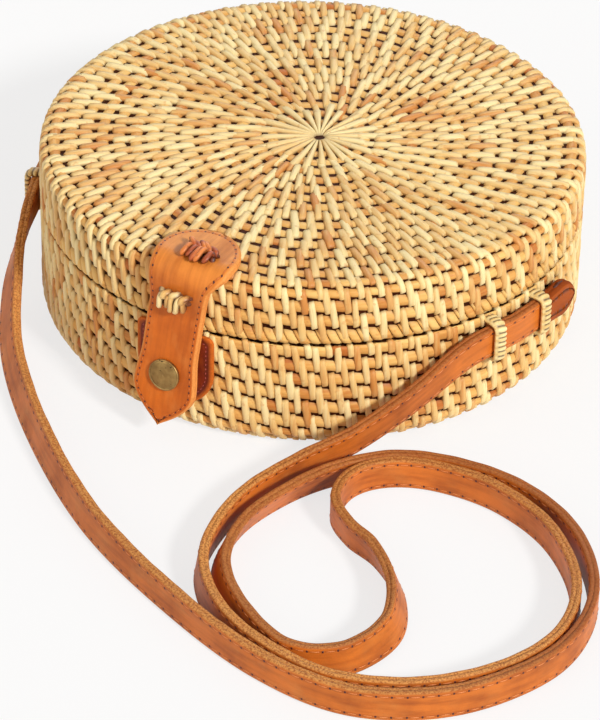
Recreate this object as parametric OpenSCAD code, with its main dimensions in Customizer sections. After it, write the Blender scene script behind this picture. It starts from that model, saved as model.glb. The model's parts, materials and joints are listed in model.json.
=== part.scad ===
// A round shoulder bag of coiled basketry, lying on its base with the lid up.
// The origin is the middle of the flat underside. The front, with the leather closure, faces -Y.

/* [Bag] */
// Outside diameter of the bag
bag_d = 202; // [180:1:240]
// Height of the base, from the ground to the top of its rim
base_h = 46; // [42:1:70]
// Height of the lid, from its rim to its top edge
lid_h = 24; // [20:1:36]
// Rise of the lid's middle above its edge
lid_rise = 1; // [0.5:0.5:8]
// Open line between the two rims
seam_gap = 0.6; // [0.3:0.1:1]
// Radius of the base's rounded foot
foot_round = 10; // [7:0.5:14]
// Radius of the lid's rounded top edge
lid_round = 5; // [3:0.5:7]

/* [Basketry] */
// Thickness of the coiled walls
wall_t = 4; // [3:0.5:5]
// Width of one coil row
coil_w = 5.8; // [4:0.2:9]
// Depth of the groove between two rows
coil_groove = 0.6; // [0.2:0.1:1.4]
// Height of the wrapped coil on each rim
rim_h = 3.6; // [2.8:0.1:5]
// Radius of the star of long stitches in the middle of the lid
star_r = 20; // [12:1:30]
// Number of long stitches in the star
star_count = 24; // [12:1:32]
// Width of one long stitch at its outer end
star_stitch_w = 2.6; // [1.6:0.1:3.4]
// Thickness of the star's stitches
star_t = 1.2; // [0.6:0.1:1.8]
// Radius of the small hole in the middle of the star
star_hole_r = 1.4; // [0.8:0.1:2.5]

/* [Hoop and lining] */
// Thickness of the hoop inside the base's rim, which locates the lid
hoop_t = 2; // [1.2:0.1:3]
// Height of the hoop above the base's rim
hoop_stand = 6; // [4:0.5:9]
// Depth of the hoop below the base's rim
hoop_grip = 2.8; // [2:0.1:3.5]
// Sliding gap between the hoop and the lid's wall
hoop_clear = 0.7; // [0.5:0.1:1.5]
// Thickness of the cloth lining
lining_t = 0.5; // [0.3:0.1:0.8]

/* [Hinge loops] */
// Distance from the middle of the bag to each hinge loop
hinge_x = 15; // [12:0.5:17]
// Radius of a hinge loop, to the middle of its strands
hinge_ring_r = 7.8; // [7.8:0.1:9.5]
// Radius of one strand
hinge_strand_r = 1.2; // [0.9:0.1:1.3]
// Number of strands side by side in a loop
hinge_strands = 3; // [2:1:4]
// Distance from the bag's side to the line that the lid turns on
hinge_out = 0.5; // [0.4:0.1:1]
// Running gap between a hinge loop and its slots
hinge_play = 0.3; // [0.2:0.05:0.5]

/* [Strap loops] */
// Angle from the bag's side to the rear strap loop, towards the front
rear_loop_angle = 9; // [6:0.5:12]
// Angle from the bag's side to the front strap loop, towards the front
front_loop_angle = 22; // [18:0.5:28]
// Turn of the strap loops about the bag's middle, as they were sewn on by hand
loop_turn = 2; // [0:0.5:3]
// Width of a strap loop, along the strap
loop_w = 5; // [3.5:0.1:6]
// Thickness of a strap loop
loop_t = 2.4; // [1.8:0.1:2.6]
// Number of turns of the binding round a strap loop
loop_ribs = 22; // [12:1:28]
// Gap round a strap loop's legs, where they pass the wall
leg_play = 0.25; // [0.15:0.05:0.4]

/* [Strap] */
// Width of the leather strap, which stands on its edge
strap_w = 12; // [10:0.5:12]
// Thickness of the strap, two layers of leather
strap_t = 3.8; // [2.6:0.1:3.8]
// Gap between the strap and the bag's side
strap_stand = 1.1; // [0.8:0.1:1.5]
// Gap between the strap and the loop round it
strap_play = 0.3; // [0.15:0.05:0.5]
// Distance from the top of the base's rim down to the middle of the strap, at its loops
strap_down = 9.5; // [9.4:0.1:12]
// Width of the strap's flared end
strap_end_w = 15.5; // [13:0.5:18]
// Length of the strap's flared end
strap_end_l = 16; // [12:0.5:20]
// Thickness of the strap's doubled end
strap_end_t = 5.2; // [4:0.1:6]

/* [Closure] */
// Thickness of one layer of the closure's leather
leather_t = 1.8; // [1.2:0.1:2.2]
// Radius of the round head of the tab on the lid
head_r = 15.5; // [13:0.5:18]
// Distance from the bag's side in to the middle of the head
head_in = 6.5; // [6:0.5:14]
// Distance that the head sits to the right of the tab's middle
head_side = 2; // [0:0.5:3]
// Half the width of the tab at the lid's edge
edge_half_w = 12; // [10:0.5:14]
// Half the width of the tab at the line where the flap bends
neck_half_w = 10.8; // [8:0.1:11]
// Distance down the lid's side from its rounded edge to the line where the flap bends
bend_down = 12; // [11:0.5:14]
// Length of the flap, from the bend to its tip
flap_l = 46; // [44:0.2:52]
// Half the width of the flap at its widest
belly_half_w = 12.2; // [10:0.1:14]
// Distance from the bend to the flap's widest line
belly_down = 31; // [30:0.5:36]
// Sideways lean of the whole closure, sewn on by hand
lean = 4; // [0:0.5:10]
// Angle that the flap stands out from the bag's side
kick = 9; // [8.5:0.5:12]
// Thickness of the leather patch behind the flap
patch_t = 1.2; // [1:0.1:1.8]
// Width of the patch
patch_w = 31; // [26:0.5:36]
// Height of the patch
patch_h = 31; // [27:0.5:33]
// Distance from the base's upper edge down to the patch, or more where the flap needs it
patch_down = 0.8; // [0.4:0.2:3]

/* [Snap and knots] */
// Distance from the bend to the middle of the snap
snap_down = 25; // [24.5:0.5:30]
// Radius of the snap's domed cap
cap_r = 6; // [5:0.1:7.5]
// Height of the cap
cap_h = 1.7; // [1:0.1:2.2]
// Radius of the snap's socket and of the stud's base
socket_r = 5; // [4:0.1:5.5]
// Height of the socket
socket_h = 1; // [0.9:0.05:1.2]
// Radius of the stud's head
stud_r = 2.2; // [1.8:0.1:2.4]
// Thickness of the stud's base
stud_base_t = 0.5; // [0.4:0.05:0.6]
// Gap between the stud's head and the socket's mouth, so that the flap swings free
stud_gap = 0.3; // [0.1:0.02:0.5]
// Radius of the cap's shank and of the stud's post
shank_r = 1.5; // [1.2:0.1:1.7]
// Length of each knot
knot_l = 14; // [13:0.5:16]
// Width of each knot across its coils
knot_w = 7; // [5.5:0.1:8]
// Radius of the cane that the knots are twisted from
cane_r = 0.8; // [0.7:0.05:0.85]
// Number of turns in each knot
knot_turns = 5; // [3:1:5]
// Distance from the lid's rounded edge down to the lower knot
lower_knot_down = 5.5; // [4:0.5:7]

// Distance that the upper knot sits to the right of the tab's middle
upper_knot_side = 3.5; // [0:0.5:4]

/* [Hidden] */
$fn = 96;

cane = "burlywood";
cane_dark = "peru";
leather = "chocolate";
leather_deep = "sienna";
brass = "darkkhaki";
cloth = "tan";

bag_r = bag_d / 2;
inside_r = bag_r - wall_t;
// Gap between pieces that are glued or sewn together
glue = 0.05;
// Gap under the tab and the patch, over the crests of the coils
bed = 0.15;
// How far every cut runs past what it cuts
over = 1;
// Number of points on each coil's crest, from one groove to the next
coil_steps = 4;
// Number of steps on each rounded corner of an outline
corner_steps = 6;
// Radius of the rounded edges of a rim coil
rim_round = 1.2;

// Heights of the two rims, the lid's edge and its crown
base_wall_top = base_h - rim_h;
lid_low = base_h + seam_gap;
lid_wall_low = lid_low + rim_h;
lid_edge_z = lid_low + lid_h;
crown_z = lid_edge_z + lid_rise;

// Length along the base's outline: round the foot, then up the wall
foot_arc = foot_round * PI / 2;
base_run = foot_arc + base_wall_top - foot_round;
base_rows = round(base_run / coil_w);
base_pitch = base_run / base_rows;

// Length along the lid's outline: up the wall, round the edge, then in to the star
lid_wall_run = lid_h - rim_h - lid_round;
lid_arc = lid_round * PI / 2;
lid_top_run = bag_r - lid_round - star_r;
lid_run = lid_wall_run + lid_arc + lid_top_run;
lid_rows = round(lid_run / coil_w);
lid_pitch = lid_run / lid_rows;
lid_slope = lid_rise / lid_top_run;

// The line that the lid turns on, at the back
hinge_y = bag_r + hinge_out;
hinge_z = base_h + seam_gap / 2;
hinge_strand_pitch = hinge_strand_r * 1.84;
hinge_w = (hinge_strands - 1) * hinge_strand_pitch + 2 * hinge_strand_r;

// Strap and loops, measured out from the bag's side
strap_mid_r = bag_r + strap_stand + strap_t / 2;
strap_z = base_h - strap_down;
strap_floor_z = strap_w / 2 + 0.4;
loop_out = strap_stand + strap_t + strap_play + loop_t / 2;
loop_in = wall_t + 2 * glue + lining_t + loop_t / 2;
loop_half_h = strap_w / 2 + strap_play + loop_t / 2;
loop_round = 2.6;
// Share by which the binding's grooves are smaller than its turns
rib_share = 0.84;

// Closure: the pivot of its lean is where the lid's edge starts to round over
lean_z = lid_edge_z - lid_round;
tab_t = 2 * leather_t;
// Share of the way up the lid's rounded edge at which the head takes over from the tab's side
head_join = 0.8;
// Running gap at the line where the flap bends
bend_gap = 0.3;
bend_r = bag_r + bed + leather_t;
bend_x = -bend_down * sin(lean);
bend_z = lean_z - bend_down * cos(lean);
snap_x = bend_x - snap_down * sin(lean);
snap_z = bend_z - snap_down * cos(lean) * cos(kick);
patch_r = bag_r + bed + patch_t;
// How far forward the patch comes under the stud's base
patch_y = -sqrt(pow(patch_r, 2) - pow(max(0, abs(snap_x) - socket_r), 2));
// Height at which the back of the flap stands clear of the patch
patch_clear = 0.17;
patch_clear_z = bend_z - (patch_r + patch_clear - bend_r + leather_t / cos(kick)) / tan(kick);
patch_top = min(base_h - patch_down, patch_clear_z);
// Distance out to the middle of the socket's mouth, and the stud that stops short of it
mouth_out = bend_r + snap_down * cos(lean) * sin(kick) - (leather_t + glue + socket_h) * cos(kick);
stud_h = mouth_out + patch_y - glue - stud_gap;
patch_low_round = 11;
patch_high_round = 3;
upper_knot_in = head_in + lid_round * 0.1;
knot_coil_r = cane_r * 1.45;
knot_coil_flat = knot_w / 2 - cane_r - knot_coil_r;
knot_leg_x = knot_l / 2;
hole_play = 0.15;

// Strap's route, from its right-hand end to its left-hand end: the middle of its width,
// as it runs through the right loops, down to the ground, twice round in loose loops,
// and up to the left loops. The points are chosen by hand, each with its share of the way
// up from the ground to the loops.
strap_plan = [
    [102.8, -15.5, 1], [101.2, -23.8, 1], [98.7, -33, 1], [94.9, -42.5, 1.002], [88.4, -55, 0.91],
    [78, -73, 0.568], [65, -91, 0.236], [51, -109, 0.037], [44, -129, 0.007], [42, -151, 0],
    [47.5, -174, 0], [64, -193, 0], [87, -204, 0], [113, -208, 0], [137, -200.5, 0],
    [158.5, -182, 0], [171, -155, 0], [166, -126, 0], [146, -102, 0], [121, -90, 0],
    [97, -88.8, 0], [80, -95, 0], [71, -107, 0], [72.5, -122, 0], [83, -132, 0], [97, -139, 0],
    [111.5, -153.5, 0], [119, -173.5, 0], [112, -194, 0], [95, -201, 0], [74, -192, 0],
    [54.5, -173, 0], [48.5, -148, 0], [54, -123, 0], [65, -103, 0], [81, -89.3, 0],
    [105, -83.3, 0], [133, -87, 0], [158, -103.5, 0], [174, -130.5, 0], [174, -162.5, 0],
    [154.5, -194.5, 0], [124, -211.5, 0], [88, -209.5, 0], [46, -193.5, 0], [1, -168.5, 0],
    [-40, -134, 0.01], [-72, -98.5, 0.06], [-88, -71, 0.36], [-93.4, -53, 0.8],
    [-95.9, -41, 0.985], [-98.5, -33, 1], [-101.1, -23.8, 1], [-103, -14, 1], [-103.7, -8.5, 1]];
strap_route = [for (p = strap_plan) [p[0], p[1], strap_floor_z + (strap_z - strap_floor_z) * p[2]]];
// Angle that the strap leans at each point: positive tips its foot to the right of its run
strap_bank = [
    0, 0, 0, 0,
    3, 10, 10, 6, 0,
    4, 9, 6, 0, 0,
    0, 0, 0, 0,
    0, 0, 0, 0, 0,
    0, -4, -12, -22,
    -24, -14, -6, -12,
    -20, -22, -22, -16,
    -6, 0, 0, 0,
    0, 0, 0, 0,
    0, -4, -12, -20,
    -26, -28, -11, -1, 0,
    0, 0, 0];
// Number of sections along the strap
strap_rings = 80;
strap_chamfer = 1.2;

// Point of a smooth curve through a list of points, at a position counted in points
function before(p, i) = i < 0 ? 2 * p[0] - p[1] : p[i];
function after(p, i) = i > len(p) - 1 ? 2 * p[len(p) - 1] - p[len(p) - 2] : p[i];
function spline_part(a, b, c, d, t) =
    ((2 * b) + (c - a) * t + (2 * a - 5 * b + 4 * c - d) * pow(t, 2)
    + (3 * b - a - 3 * c + d) * pow(t, 3)) / 2;
function spline(p, at) =
    let (i = min(floor(at), len(p) - 2))
    spline_part(before(p, i - 1), p[i], p[i + 1], after(p, i + 2), at - i);
function unit(v) = v / norm(v);

// Least distance between points of a path that lie at least a number of points apart on it
function least_gap(path, apart) =
    min([for (i = [0 : len(path) - 1 - apart]) for (j = [i + apart : len(path) - 1])
        norm(path[i] - path[j])]);
function flat(lists) = [for (part = lists) for (entry = part) entry];

// Depth of the coils' grooves at a distance along an outline
function groove(s, pitch) = coil_groove * pow(2 * (s / pitch - floor(s / pitch)) - 1, 2);

// A round corner of an outline, from one angle to another
function corner(centre, r, from, to) =
    [for (i = [0 : corner_steps])
        let (a = from + (to - from) * i / corner_steps)
        centre + r * [cos(a), sin(a)]];

// The base's outer outline at a distance along it, less the groove there
function base_point(s) =
    s < foot_arc
    ? let (a = s / foot_arc * 90, r = foot_round - groove(s, base_pitch))
        [bag_r - foot_round + r * sin(a), foot_round - r * cos(a)]
    : [bag_r - groove(s, base_pitch), foot_round + s - foot_arc];

// The lid's outer outline at a distance along it, less the groove there
function lid_point(s) =
    s < lid_wall_run
    ? [bag_r - groove(s, lid_pitch), lid_wall_low + s]
    : s < lid_wall_run + lid_arc
    ? let (a = (s - lid_wall_run) / lid_arc * 90, r = lid_round - groove(s, lid_pitch))
        [bag_r - lid_round + r * cos(a), lid_edge_z - lid_round + r * sin(a)]
    : let (t = s - lid_wall_run - lid_arc)
        [bag_r - lid_round - t, lid_edge_z + lid_slope * t - groove(s, lid_pitch)];

// The inside of the base, at a distance in from its wall
function base_inside(off) = concat(
    [[inside_r - off, base_wall_top]],
    corner([bag_r - foot_round, foot_round], foot_round - wall_t - off, 0, -90),
    [[0, wall_t + off]]);

// The inside of the lid, at a distance in from its wall, down to a height
function lid_inside(off, low) = [
    [inside_r - off, low],
    [inside_r - off, lid_edge_z - wall_t - off],
    [star_r, crown_z - wall_t - off],
    [0, crown_z - wall_t - off]];

// The lid's outside at a distance out from it, from the bend up over the edge to the head's end
function tab_line(off) = concat(
    [[bag_r + off, lean_z - bend_down - over]],
    corner([bag_r - lid_round, lid_edge_z - lid_round], lid_round + off, 0, 90),
    [[bag_r - head_in - head_r - over,
        lid_edge_z + off + lid_slope * (head_in + head_r + over - lid_round)]]);

module ring_of(points) {
    rotate_extrude()
        polygon(points);
}

// Skin over a run of sections, each a list of as many points, closed at its ends
module skin(sections) {
    n = len(sections[0]);
    last = len(sections) - 1;
    sides = flat([for (i = [0 : last - 1]) flat([for (k = [0 : n - 1])
        let (a = i * n + k, b = i * n + (k + 1) % n)
        [[a, b, a + n], [b, b + n, a + n]]])]);
    first_end = [for (k = [1 : n - 2]) [0, k + 1, k]];
    last_end = [for (k = [1 : n - 2]) [last * n, last * n + k, last * n + k + 1]];
    polyhedron(points = flat(sections), faces = concat(sides, first_end, last_end));
}

// Skin over sections that meet end to end in a ring
module ring_skin(sections) {
    n = len(sections[0]);
    m = len(sections);
    faces = flat([for (i = [0 : m - 1]) flat([for (k = [0 : n - 1])
        let (a = i * n + k, b = i * n + (k + 1) % n,
            c = (i + 1) % m * n + k, d = (i + 1) % m * n + (k + 1) % n)
        [[a, b, c], [b, d, c]]])]);
    polyhedron(points = flat(sections), faces = faces);
}

// Where the hinge loops pass through the walls: a band round the line that the lid turns on
module hinge_slots() {
    for (side = [-1, 1])
        translate([side * hinge_x, hinge_y, hinge_z])
            rotate([0, 90, 0])
                difference() {
                    cylinder(r = hinge_ring_r + hinge_strand_r + hinge_play,
                        h = hinge_w + 2 * hinge_play, center = true);
                    cylinder(r = hinge_ring_r - hinge_strand_r - hinge_play,
                        h = hinge_w + 2 * (hinge_play + over), center = true);
                }
}

// Places a strap loop's own frame: X out from the bag, Y along the strap, Z up
module at_loop(side, angle) {
    rotate([0, 0, -loop_turn])
        mirror([side < 0 ? 1 : 0, 0, 0])
            rotate([0, 0, -angle])
                translate([bag_r, 0, strap_z])
                    children();
}

// Where the legs of the strap loops pass through the wall
module leg_slots() {
    reach = loop_in + loop_t;
    for (side = [-1, 1], angle = [rear_loop_angle, front_loop_angle], up = [-1, 1])
        at_loop(side, angle)
            translate([-reach, -loop_w / 2 - leg_play, up * loop_half_h - loop_t / 2 - leg_play])
                cube([reach + over, loop_w + 2 * leg_play, loop_t + 2 * leg_play]);
}

// Room for the whole inner side of the strap loops, cut from the hoop and the lining
module loop_room() {
    half = loop_half_h + loop_t / 2 + leg_play;
    for (side = [-1, 1], angle = [rear_loop_angle, front_loop_angle])
        at_loop(side, angle)
            translate([-loop_in - loop_t, -loop_w / 2 - leg_play, -half])
                cube([loop_t + loop_in - wall_t + glue, loop_w + 2 * leg_play, 2 * half]);
}

// Places the closure's frame on the lid's side: leaning, with Z up from the bend
module at_bend() {
    translate([bend_x, -bend_r, bend_z])
        rotate([-kick, 0, 0])
            rotate([0, lean, 0])
                children();
}

module at_snap() {
    at_bend()
        translate([0, 0, -snap_down])
            rotate([90, 0, 0])
                children();
}

// Places the stud's frame on the patch, with Z out towards the front
module at_stud() {
    translate([snap_x, patch_y - glue, snap_z])
        rotate([90, 0, 0])
            children();
}

// Places a knot's frame: X along the knot, Z out of the leather's face
module at_upper_knot() {
    y = bag_r - upper_knot_in;
    translate([upper_knot_in * sin(lean), -y,
        lid_edge_z + bed + tab_t + lid_slope * (upper_knot_in - lid_round)])
        rotate([0, 0, -lean])
            translate([upper_knot_side, 0, 0])
                children();
}

module at_lower_knot() {
    translate([-lower_knot_down * sin(lean), -bag_r - bed - tab_t,
        lean_z - lower_knot_down * cos(lean)])
        rotate([90, 0, 0])
            rotate([0, 0, -lean])
                children();
}

module knot_holes() {
    deep = tab_t + bed + wall_t + lining_t + over;
    for (x = [-1, 1])
        translate([x * knot_leg_x, 0, -deep])
            cylinder(r = cane_r + hole_play, h = deep + over, $fn = 24);
}

module lid_holes() {
    hinge_slots();
    at_upper_knot() knot_holes();
    at_lower_knot() knot_holes();
}

// A knot: the cane comes up through one hole, winds round itself and goes down the other,
// and its two ends are turned in under the wall. Each coil is flat above and below and round
// at its two sides, and the coils widen a little in the middle.
knot_lap = 12;
knot_steps = knot_turns * knot_lap;
function knot_coil(i) =
    let (k = i % knot_lap, flat_w = knot_coil_flat * (0.85 + 0.15 * sin(180 * i / knot_steps)),
        back = k > 6, q = back ? 12 - k : k, turn = q < 1 ? 0 : q > 5 ? 180 : 45 * (q - 1),
        out = q < 1 || q > 5 ? 0 : flat_w + knot_coil_r * sin(turn))
    [back ? out : -out, knot_coil_r * (1 - cos(turn))];
function knot_ends(side) =
    let (deep = tab_t + bed + wall_t + lining_t + cane_r + 8 * glue)
    [[side * cane_r, 0, -deep], [side * (knot_leg_x - 2 * cane_r), 0, -deep],
        [side * knot_leg_x, 0, -deep + 0.8 * cane_r], [side * knot_leg_x, 0, 0],
        [side * (knot_leg_x - 0.5 * cane_r), 0, 1.2 * cane_r]];
function knot_path() =
    let (run = knot_leg_x - 2 * cane_r, last = knot_ends(1))
    concat(knot_ends(-1),
        [for (i = [0 : knot_steps])
            let (c = knot_coil(i))
            [-run + 2 * run * i / knot_steps, c[0], cane_r + glue + c[1]]],
        [for (i = [4 : -1 : 0]) last[i]]);

// A run of cane, whose sections keep one side towards Y at its ends and towards X in its coils
module cane_run(path, r, coils_from, coils_to) {
    last = len(path) - 1;
    skin([for (i = [0 : last])
        let (t = unit(path[min(i + 1, last)] - path[max(i - 1, 0)]),
            side = unit(cross(t, i > coils_from && i < coils_to ? [1, 0, 0] : [0, 1, 0])),
            up = cross(t, side))
        [for (k = [0 : 5]) path[i] + r * (side * cos(60 * k) + up * sin(60 * k))]]);
}

module base_basket() {
    rows_end = base_rows * coil_steps;
    color(cane)
        difference() {
            ring_of(concat(
                [[0, 0], [bag_r - foot_round, 0]],
                [for (i = [1 : rows_end]) base_point(base_run * i / rows_end)],
                base_inside(0)));
            hinge_slots();
            leg_slots();
            at_stud()
                translate([0, 0, -patch_t - 2 * wall_t])
                    cylinder(r = shank_r + hole_play, h = patch_t + 2 * wall_t + over);
        }
}

// A wrapped coil on a rim: its outline has round corners
module rim_coil(low) {
    r = rim_round;
    high = low + rim_h;
    ring_of(concat(
        corner([bag_r - r, high - r], r, 0, 90),
        corner([inside_r + r, high - r], r, 90, 180),
        corner([inside_r + r, low + r], r, 180, 270),
        corner([bag_r - r, low + r], r, 270, 360)));
}

module base_rim() {
    color(cane)
        difference() {
            rim_coil(base_wall_top);
            hinge_slots();
            leg_slots();
        }
}

module locating_hoop() {
    low = base_h - hoop_grip;
    high = base_h + hoop_stand;
    outer = inside_r - glue;
    outer_high = inside_r - hoop_clear;
    inner = outer_high - hoop_t;
    color(cane_dark)
        difference() {
            ring_of([[inner, low], [outer, low], [outer, base_h - rim_round],
                [outer_high, base_h], [outer_high, high - rim_round / 2],
                [outer_high - rim_round / 2, high], [inner + rim_round / 2, high],
                [inner, high - rim_round / 2]]);
            hinge_slots();
            loop_room();
        }
}

module base_lining() {
    top = base_h - hoop_grip - glue;
    color(cloth)
        difference() {
            ring_of(concat(
                [[0, wall_t + glue + lining_t]],
                [for (i = [len(base_inside(0)) - 2 : -1 : 1]) base_inside(glue + lining_t)[i]],
                [[inside_r - glue - lining_t, top], [inside_r - glue, top]],
                [for (i = [1 : len(base_inside(0)) - 1]) base_inside(glue)[i]]));
            hinge_slots();
            loop_room();
            at_stud()
                translate([0, 0, -patch_t - 2 * wall_t])
                    cylinder(r = shank_r + hole_play, h = 2 * wall_t);
        }
}

// The patch's outline, rounder at its foot
module patch_outline() {
    low = patch_h - patch_low_round;
    translate([-patch_w / 2, -low])
        square([patch_w, low - patch_high_round]);
    translate([patch_high_round - patch_w / 2, -low])
        square([patch_w - 2 * patch_high_round, low]);
    translate([patch_low_round - patch_w / 2, -patch_h])
        square([patch_w - 2 * patch_low_round, patch_low_round + over]);
    for (x = [-1, 1]) {
        translate([x * (patch_w / 2 - patch_high_round), -patch_high_round])
            circle(r = patch_high_round);
        translate([x * (patch_w / 2 - patch_low_round), -low])
            circle(r = patch_low_round);
    }
}

module clasp_patch() {
    color(leather_deep)
        difference() {
            intersection() {
                ring_of([[bag_r + bed, 0], [patch_r, 0], [patch_r, base_h], [bag_r + bed, base_h]]);
                translate([snap_x, 0, patch_top])
                    rotate([90, 0, 0])
                        linear_extrude(bag_d)
                            patch_outline();
            }
            at_stud()
                translate([0, 0, -2 * patch_t])
                    cylinder(r = shank_r + hole_play, h = 3 * patch_t);
        }
}

module snap_stud() {
    bevel = stud_base_t / 2;
    color(brass)
        at_stud()
            difference() {
                union() {
                    cylinder(r = socket_r - hole_play, h = stud_base_t);
                    cylinder(r1 = stud_r * 0.86, r2 = stud_r, h = stud_h - bevel);
                    translate([0, 0, stud_h - bevel])
                        cylinder(r1 = stud_r, r2 = stud_r * 0.8, h = bevel);
                }
                translate([0, 0, -over])
                    cylinder(r = shank_r + glue, h = over + stud_base_t);
            }
}

module snap_post() {
    flange_t = 0.7;
    flange_y = sqrt(pow(inside_r - 2 * glue - lining_t, 2) - pow(abs(snap_x) + socket_r, 2));
    back = -patch_y - flange_y;
    color(brass)
        at_stud() {
            translate([0, 0, -back])
                cylinder(r = shank_r, h = back + stud_base_t - glue);
            translate([0, 0, -back - flange_t])
                cylinder(r = socket_r, h = flange_t + glue);
        }
}

module hinge_loop(side) {
    color(cane)
        translate([side * hinge_x, hinge_y, hinge_z])
            rotate([0, 90, 0])
                rotate_extrude()
                    for (k = [0 : hinge_strands - 1])
                        translate([hinge_ring_r, (k - (hinge_strands - 1) / 2) * hinge_strand_pitch])
                            circle(r = hinge_strand_r, $fn = 24);
}

module hinge_loop_left() {
    hinge_loop(-1);
}

module hinge_loop_right() {
    hinge_loop(1);
}

// Middle line of a strap loop: a rounded rectangle round the strap and through the wall,
// at a share of the way round it, with the angle of its own outward direction
function loop_at(share) =
    let (flat_w = loop_out + loop_in - 2 * loop_round,
        flat_h = 2 * (loop_half_h - loop_round),
        arc = loop_round * PI / 2,
        quarter = [flat_h / 2, arc, flat_w, arc, flat_h, arc, flat_w, arc, flat_h / 2],
        s = share * (2 * (flat_w + flat_h) + 4 * arc))
    loop_part(quarter, s, 0, 0);
function loop_part(parts, s, i, turned) =
    s <= parts[i] || i == len(parts) - 1
    ? loop_place(i, s / parts[i])
    : loop_part(parts, s - parts[i], i + 1, turned);
function loop_place(i, t) =
    let (x1 = loop_out - loop_round, x0 = -loop_in + loop_round, z1 = loop_half_h - loop_round)
    i == 0 ? [loop_out, z1 * t, 0]
    : i == 1 ? [x1 + loop_round * cos(90 * t), z1 + loop_round * sin(90 * t), 90 * t]
    : i == 2 ? [x1 + (x0 - x1) * t, loop_half_h, 90]
    : i == 3 ? [x0 + loop_round * cos(90 + 90 * t), z1 + loop_round * sin(90 + 90 * t), 90 + 90 * t]
    : i == 4 ? [-loop_in, z1 * (1 - 2 * t), 180]
    : i == 5 ? [x0 + loop_round * cos(180 + 90 * t), -z1 + loop_round * sin(180 + 90 * t), 180 + 90 * t]
    : i == 6 ? [x0 + (x1 - x0) * t, -loop_half_h, 270]
    : i == 7 ? [x1 + loop_round * cos(270 + 90 * t), -z1 + loop_round * sin(270 + 90 * t), 270 + 90 * t]
    : [loop_out, z1 * (t - 1), 360];

module strap_loop(side, angle) {
    rings = 2 * loop_ribs;
    color(cane)
        at_loop(side, angle)
            ring_skin([for (i = [0 : rings - 1])
                let (p = loop_at(i / rings), a = p[2], grow = i % 2 == 0 ? 1 : rib_share)
                [for (k = [0 : 7])
                    let (out = grow * loop_t / 2 * cos(45 * k + 22.5) / cos(22.5),
                        across = grow * loop_w / 2 * sin(45 * k + 22.5) / cos(22.5))
                    [p[0] + out * cos(a), across, p[1] + out * sin(a)]]]);
}

module strap_loop_front_left() {
    strap_loop(-1, front_loop_angle);
}

module strap_loop_rear_left() {
    strap_loop(-1, rear_loop_angle);
}

module strap_loop_front_right() {
    strap_loop(1, front_loop_angle);
}

module strap_loop_rear_right() {
    strap_loop(1, rear_loop_angle);
}

module lid_basket() {
    rows_end = lid_rows * coil_steps;
    color(cane)
        difference() {
            ring_of(concat(
                [for (i = [0 : rows_end]) lid_point(lid_run * i / rows_end)],
                [[star_r, crown_z - star_t], [0, crown_z - star_t]],
                [for (i = [3 : -1 : 0]) lid_inside(0, lid_wall_low)[i]]));
            lid_holes();
        }
}

// The star: long stitches that fan out from the middle of the lid over its first coils
module lid_star() {
    color(cane)
        translate([0, 0, crown_z - star_t])
            linear_extrude(star_t - glue)
                difference() {
                    union() {
                        circle(r = star_r / 3);
                        for (i = [0 : star_count - 1])
                            rotate(360 * i / star_count) {
                                polygon([[0, -star_stitch_w / 4],
                                    [star_r - star_stitch_w, -star_stitch_w / 2],
                                    [star_r - star_stitch_w, star_stitch_w / 2],
                                    [0, star_stitch_w / 4]]);
                                translate([star_r - star_stitch_w, 0])
                                    circle(r = star_stitch_w / 2, $fn = 24);
                            }
                    }
                    circle(r = star_hole_r);
                }
}

module lid_rim() {
    color(cane)
        difference() {
            rim_coil(lid_low);
            hinge_slots();
        }
}

module lid_lining() {
    low = base_h + hoop_stand + over;
    inner = lid_inside(glue + lining_t, low);
    outer = lid_inside(glue, low);
    color(cloth)
        difference() {
            ring_of(concat([for (i = [3 : -1 : 0]) inner[i]], outer));
            lid_holes();
        }
}

// Half the head's width at a distance in from the bag's side
function head_half_w(in) = sqrt(pow(head_r, 2) - pow(head_in - in, 2));

// The tab seen from above: a round head that narrows towards the lid's edge
module tab_top_outline() {
    translate([head_side, -(bag_r - head_in)])
        circle(r = head_r);
    polygon([[head_side - head_r * 0.9, -(bag_r - head_in * 0.45)],
        [head_side + head_r * 0.9, -(bag_r - head_in * 0.45)],
        [edge_half_w, -bag_r - tab_t - over], [-edge_half_w, -bag_r - tab_t - over]]);
}

// The tab seen from the front, from above the lid's edge down to the bend
module tab_front_outline() {
    high = lid_round + tab_t;
    end = -bend_down + leather_t + bend_gap;
    mid_half_w = (edge_half_w + 2 * neck_half_w) / 3;
    join_half_w = head_half_w(lid_round * (1 - sqrt(1 - pow(head_join, 2))));
    polygon([[head_side - join_half_w, high], [head_side - join_half_w, lid_round * head_join],
        [-edge_half_w, 0], [-mid_half_w, end / 2], [-neck_half_w, end],
        [neck_half_w, end], [mid_half_w, end / 2], [edge_half_w, 0],
        [head_side + join_half_w, lid_round * head_join], [head_side + join_half_w, high]]);
}

// One layer of the tab, which follows the lid's top, its edge and its side
module tab_layer(low, high) {
    difference() {
        intersection() {
            ring_of(concat(tab_line(low), [for (i = [corner_steps + 2 : -1 : 0]) tab_line(high)[i]]));
            union() {
                translate([0, 0, lean_z + lid_round * head_join])
                    linear_extrude(lid_h)
                        translate([0, -bag_r])
                            rotate(-lean)
                                translate([0, bag_r])
                                    tab_top_outline();
                translate([0, -bag_r + lid_round, lean_z])
                    rotate([0, lean, 0])
                        rotate([90, 0, 0])
                            linear_extrude(lid_round + tab_t + over)
                                tab_front_outline();
            }
        }
        at_upper_knot() knot_holes();
        at_lower_knot() knot_holes();
    }
}

module tab_back() {
    color(leather_deep)
        tab_layer(bed, bed + leather_t);
}

module tab_face() {
    color(leather)
        tab_layer(bed + leather_t, bed + tab_t);
}

module knot() {
    color(cane)
        cane_run(knot_path(), cane_r, 5, 5 + knot_steps);
}

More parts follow.
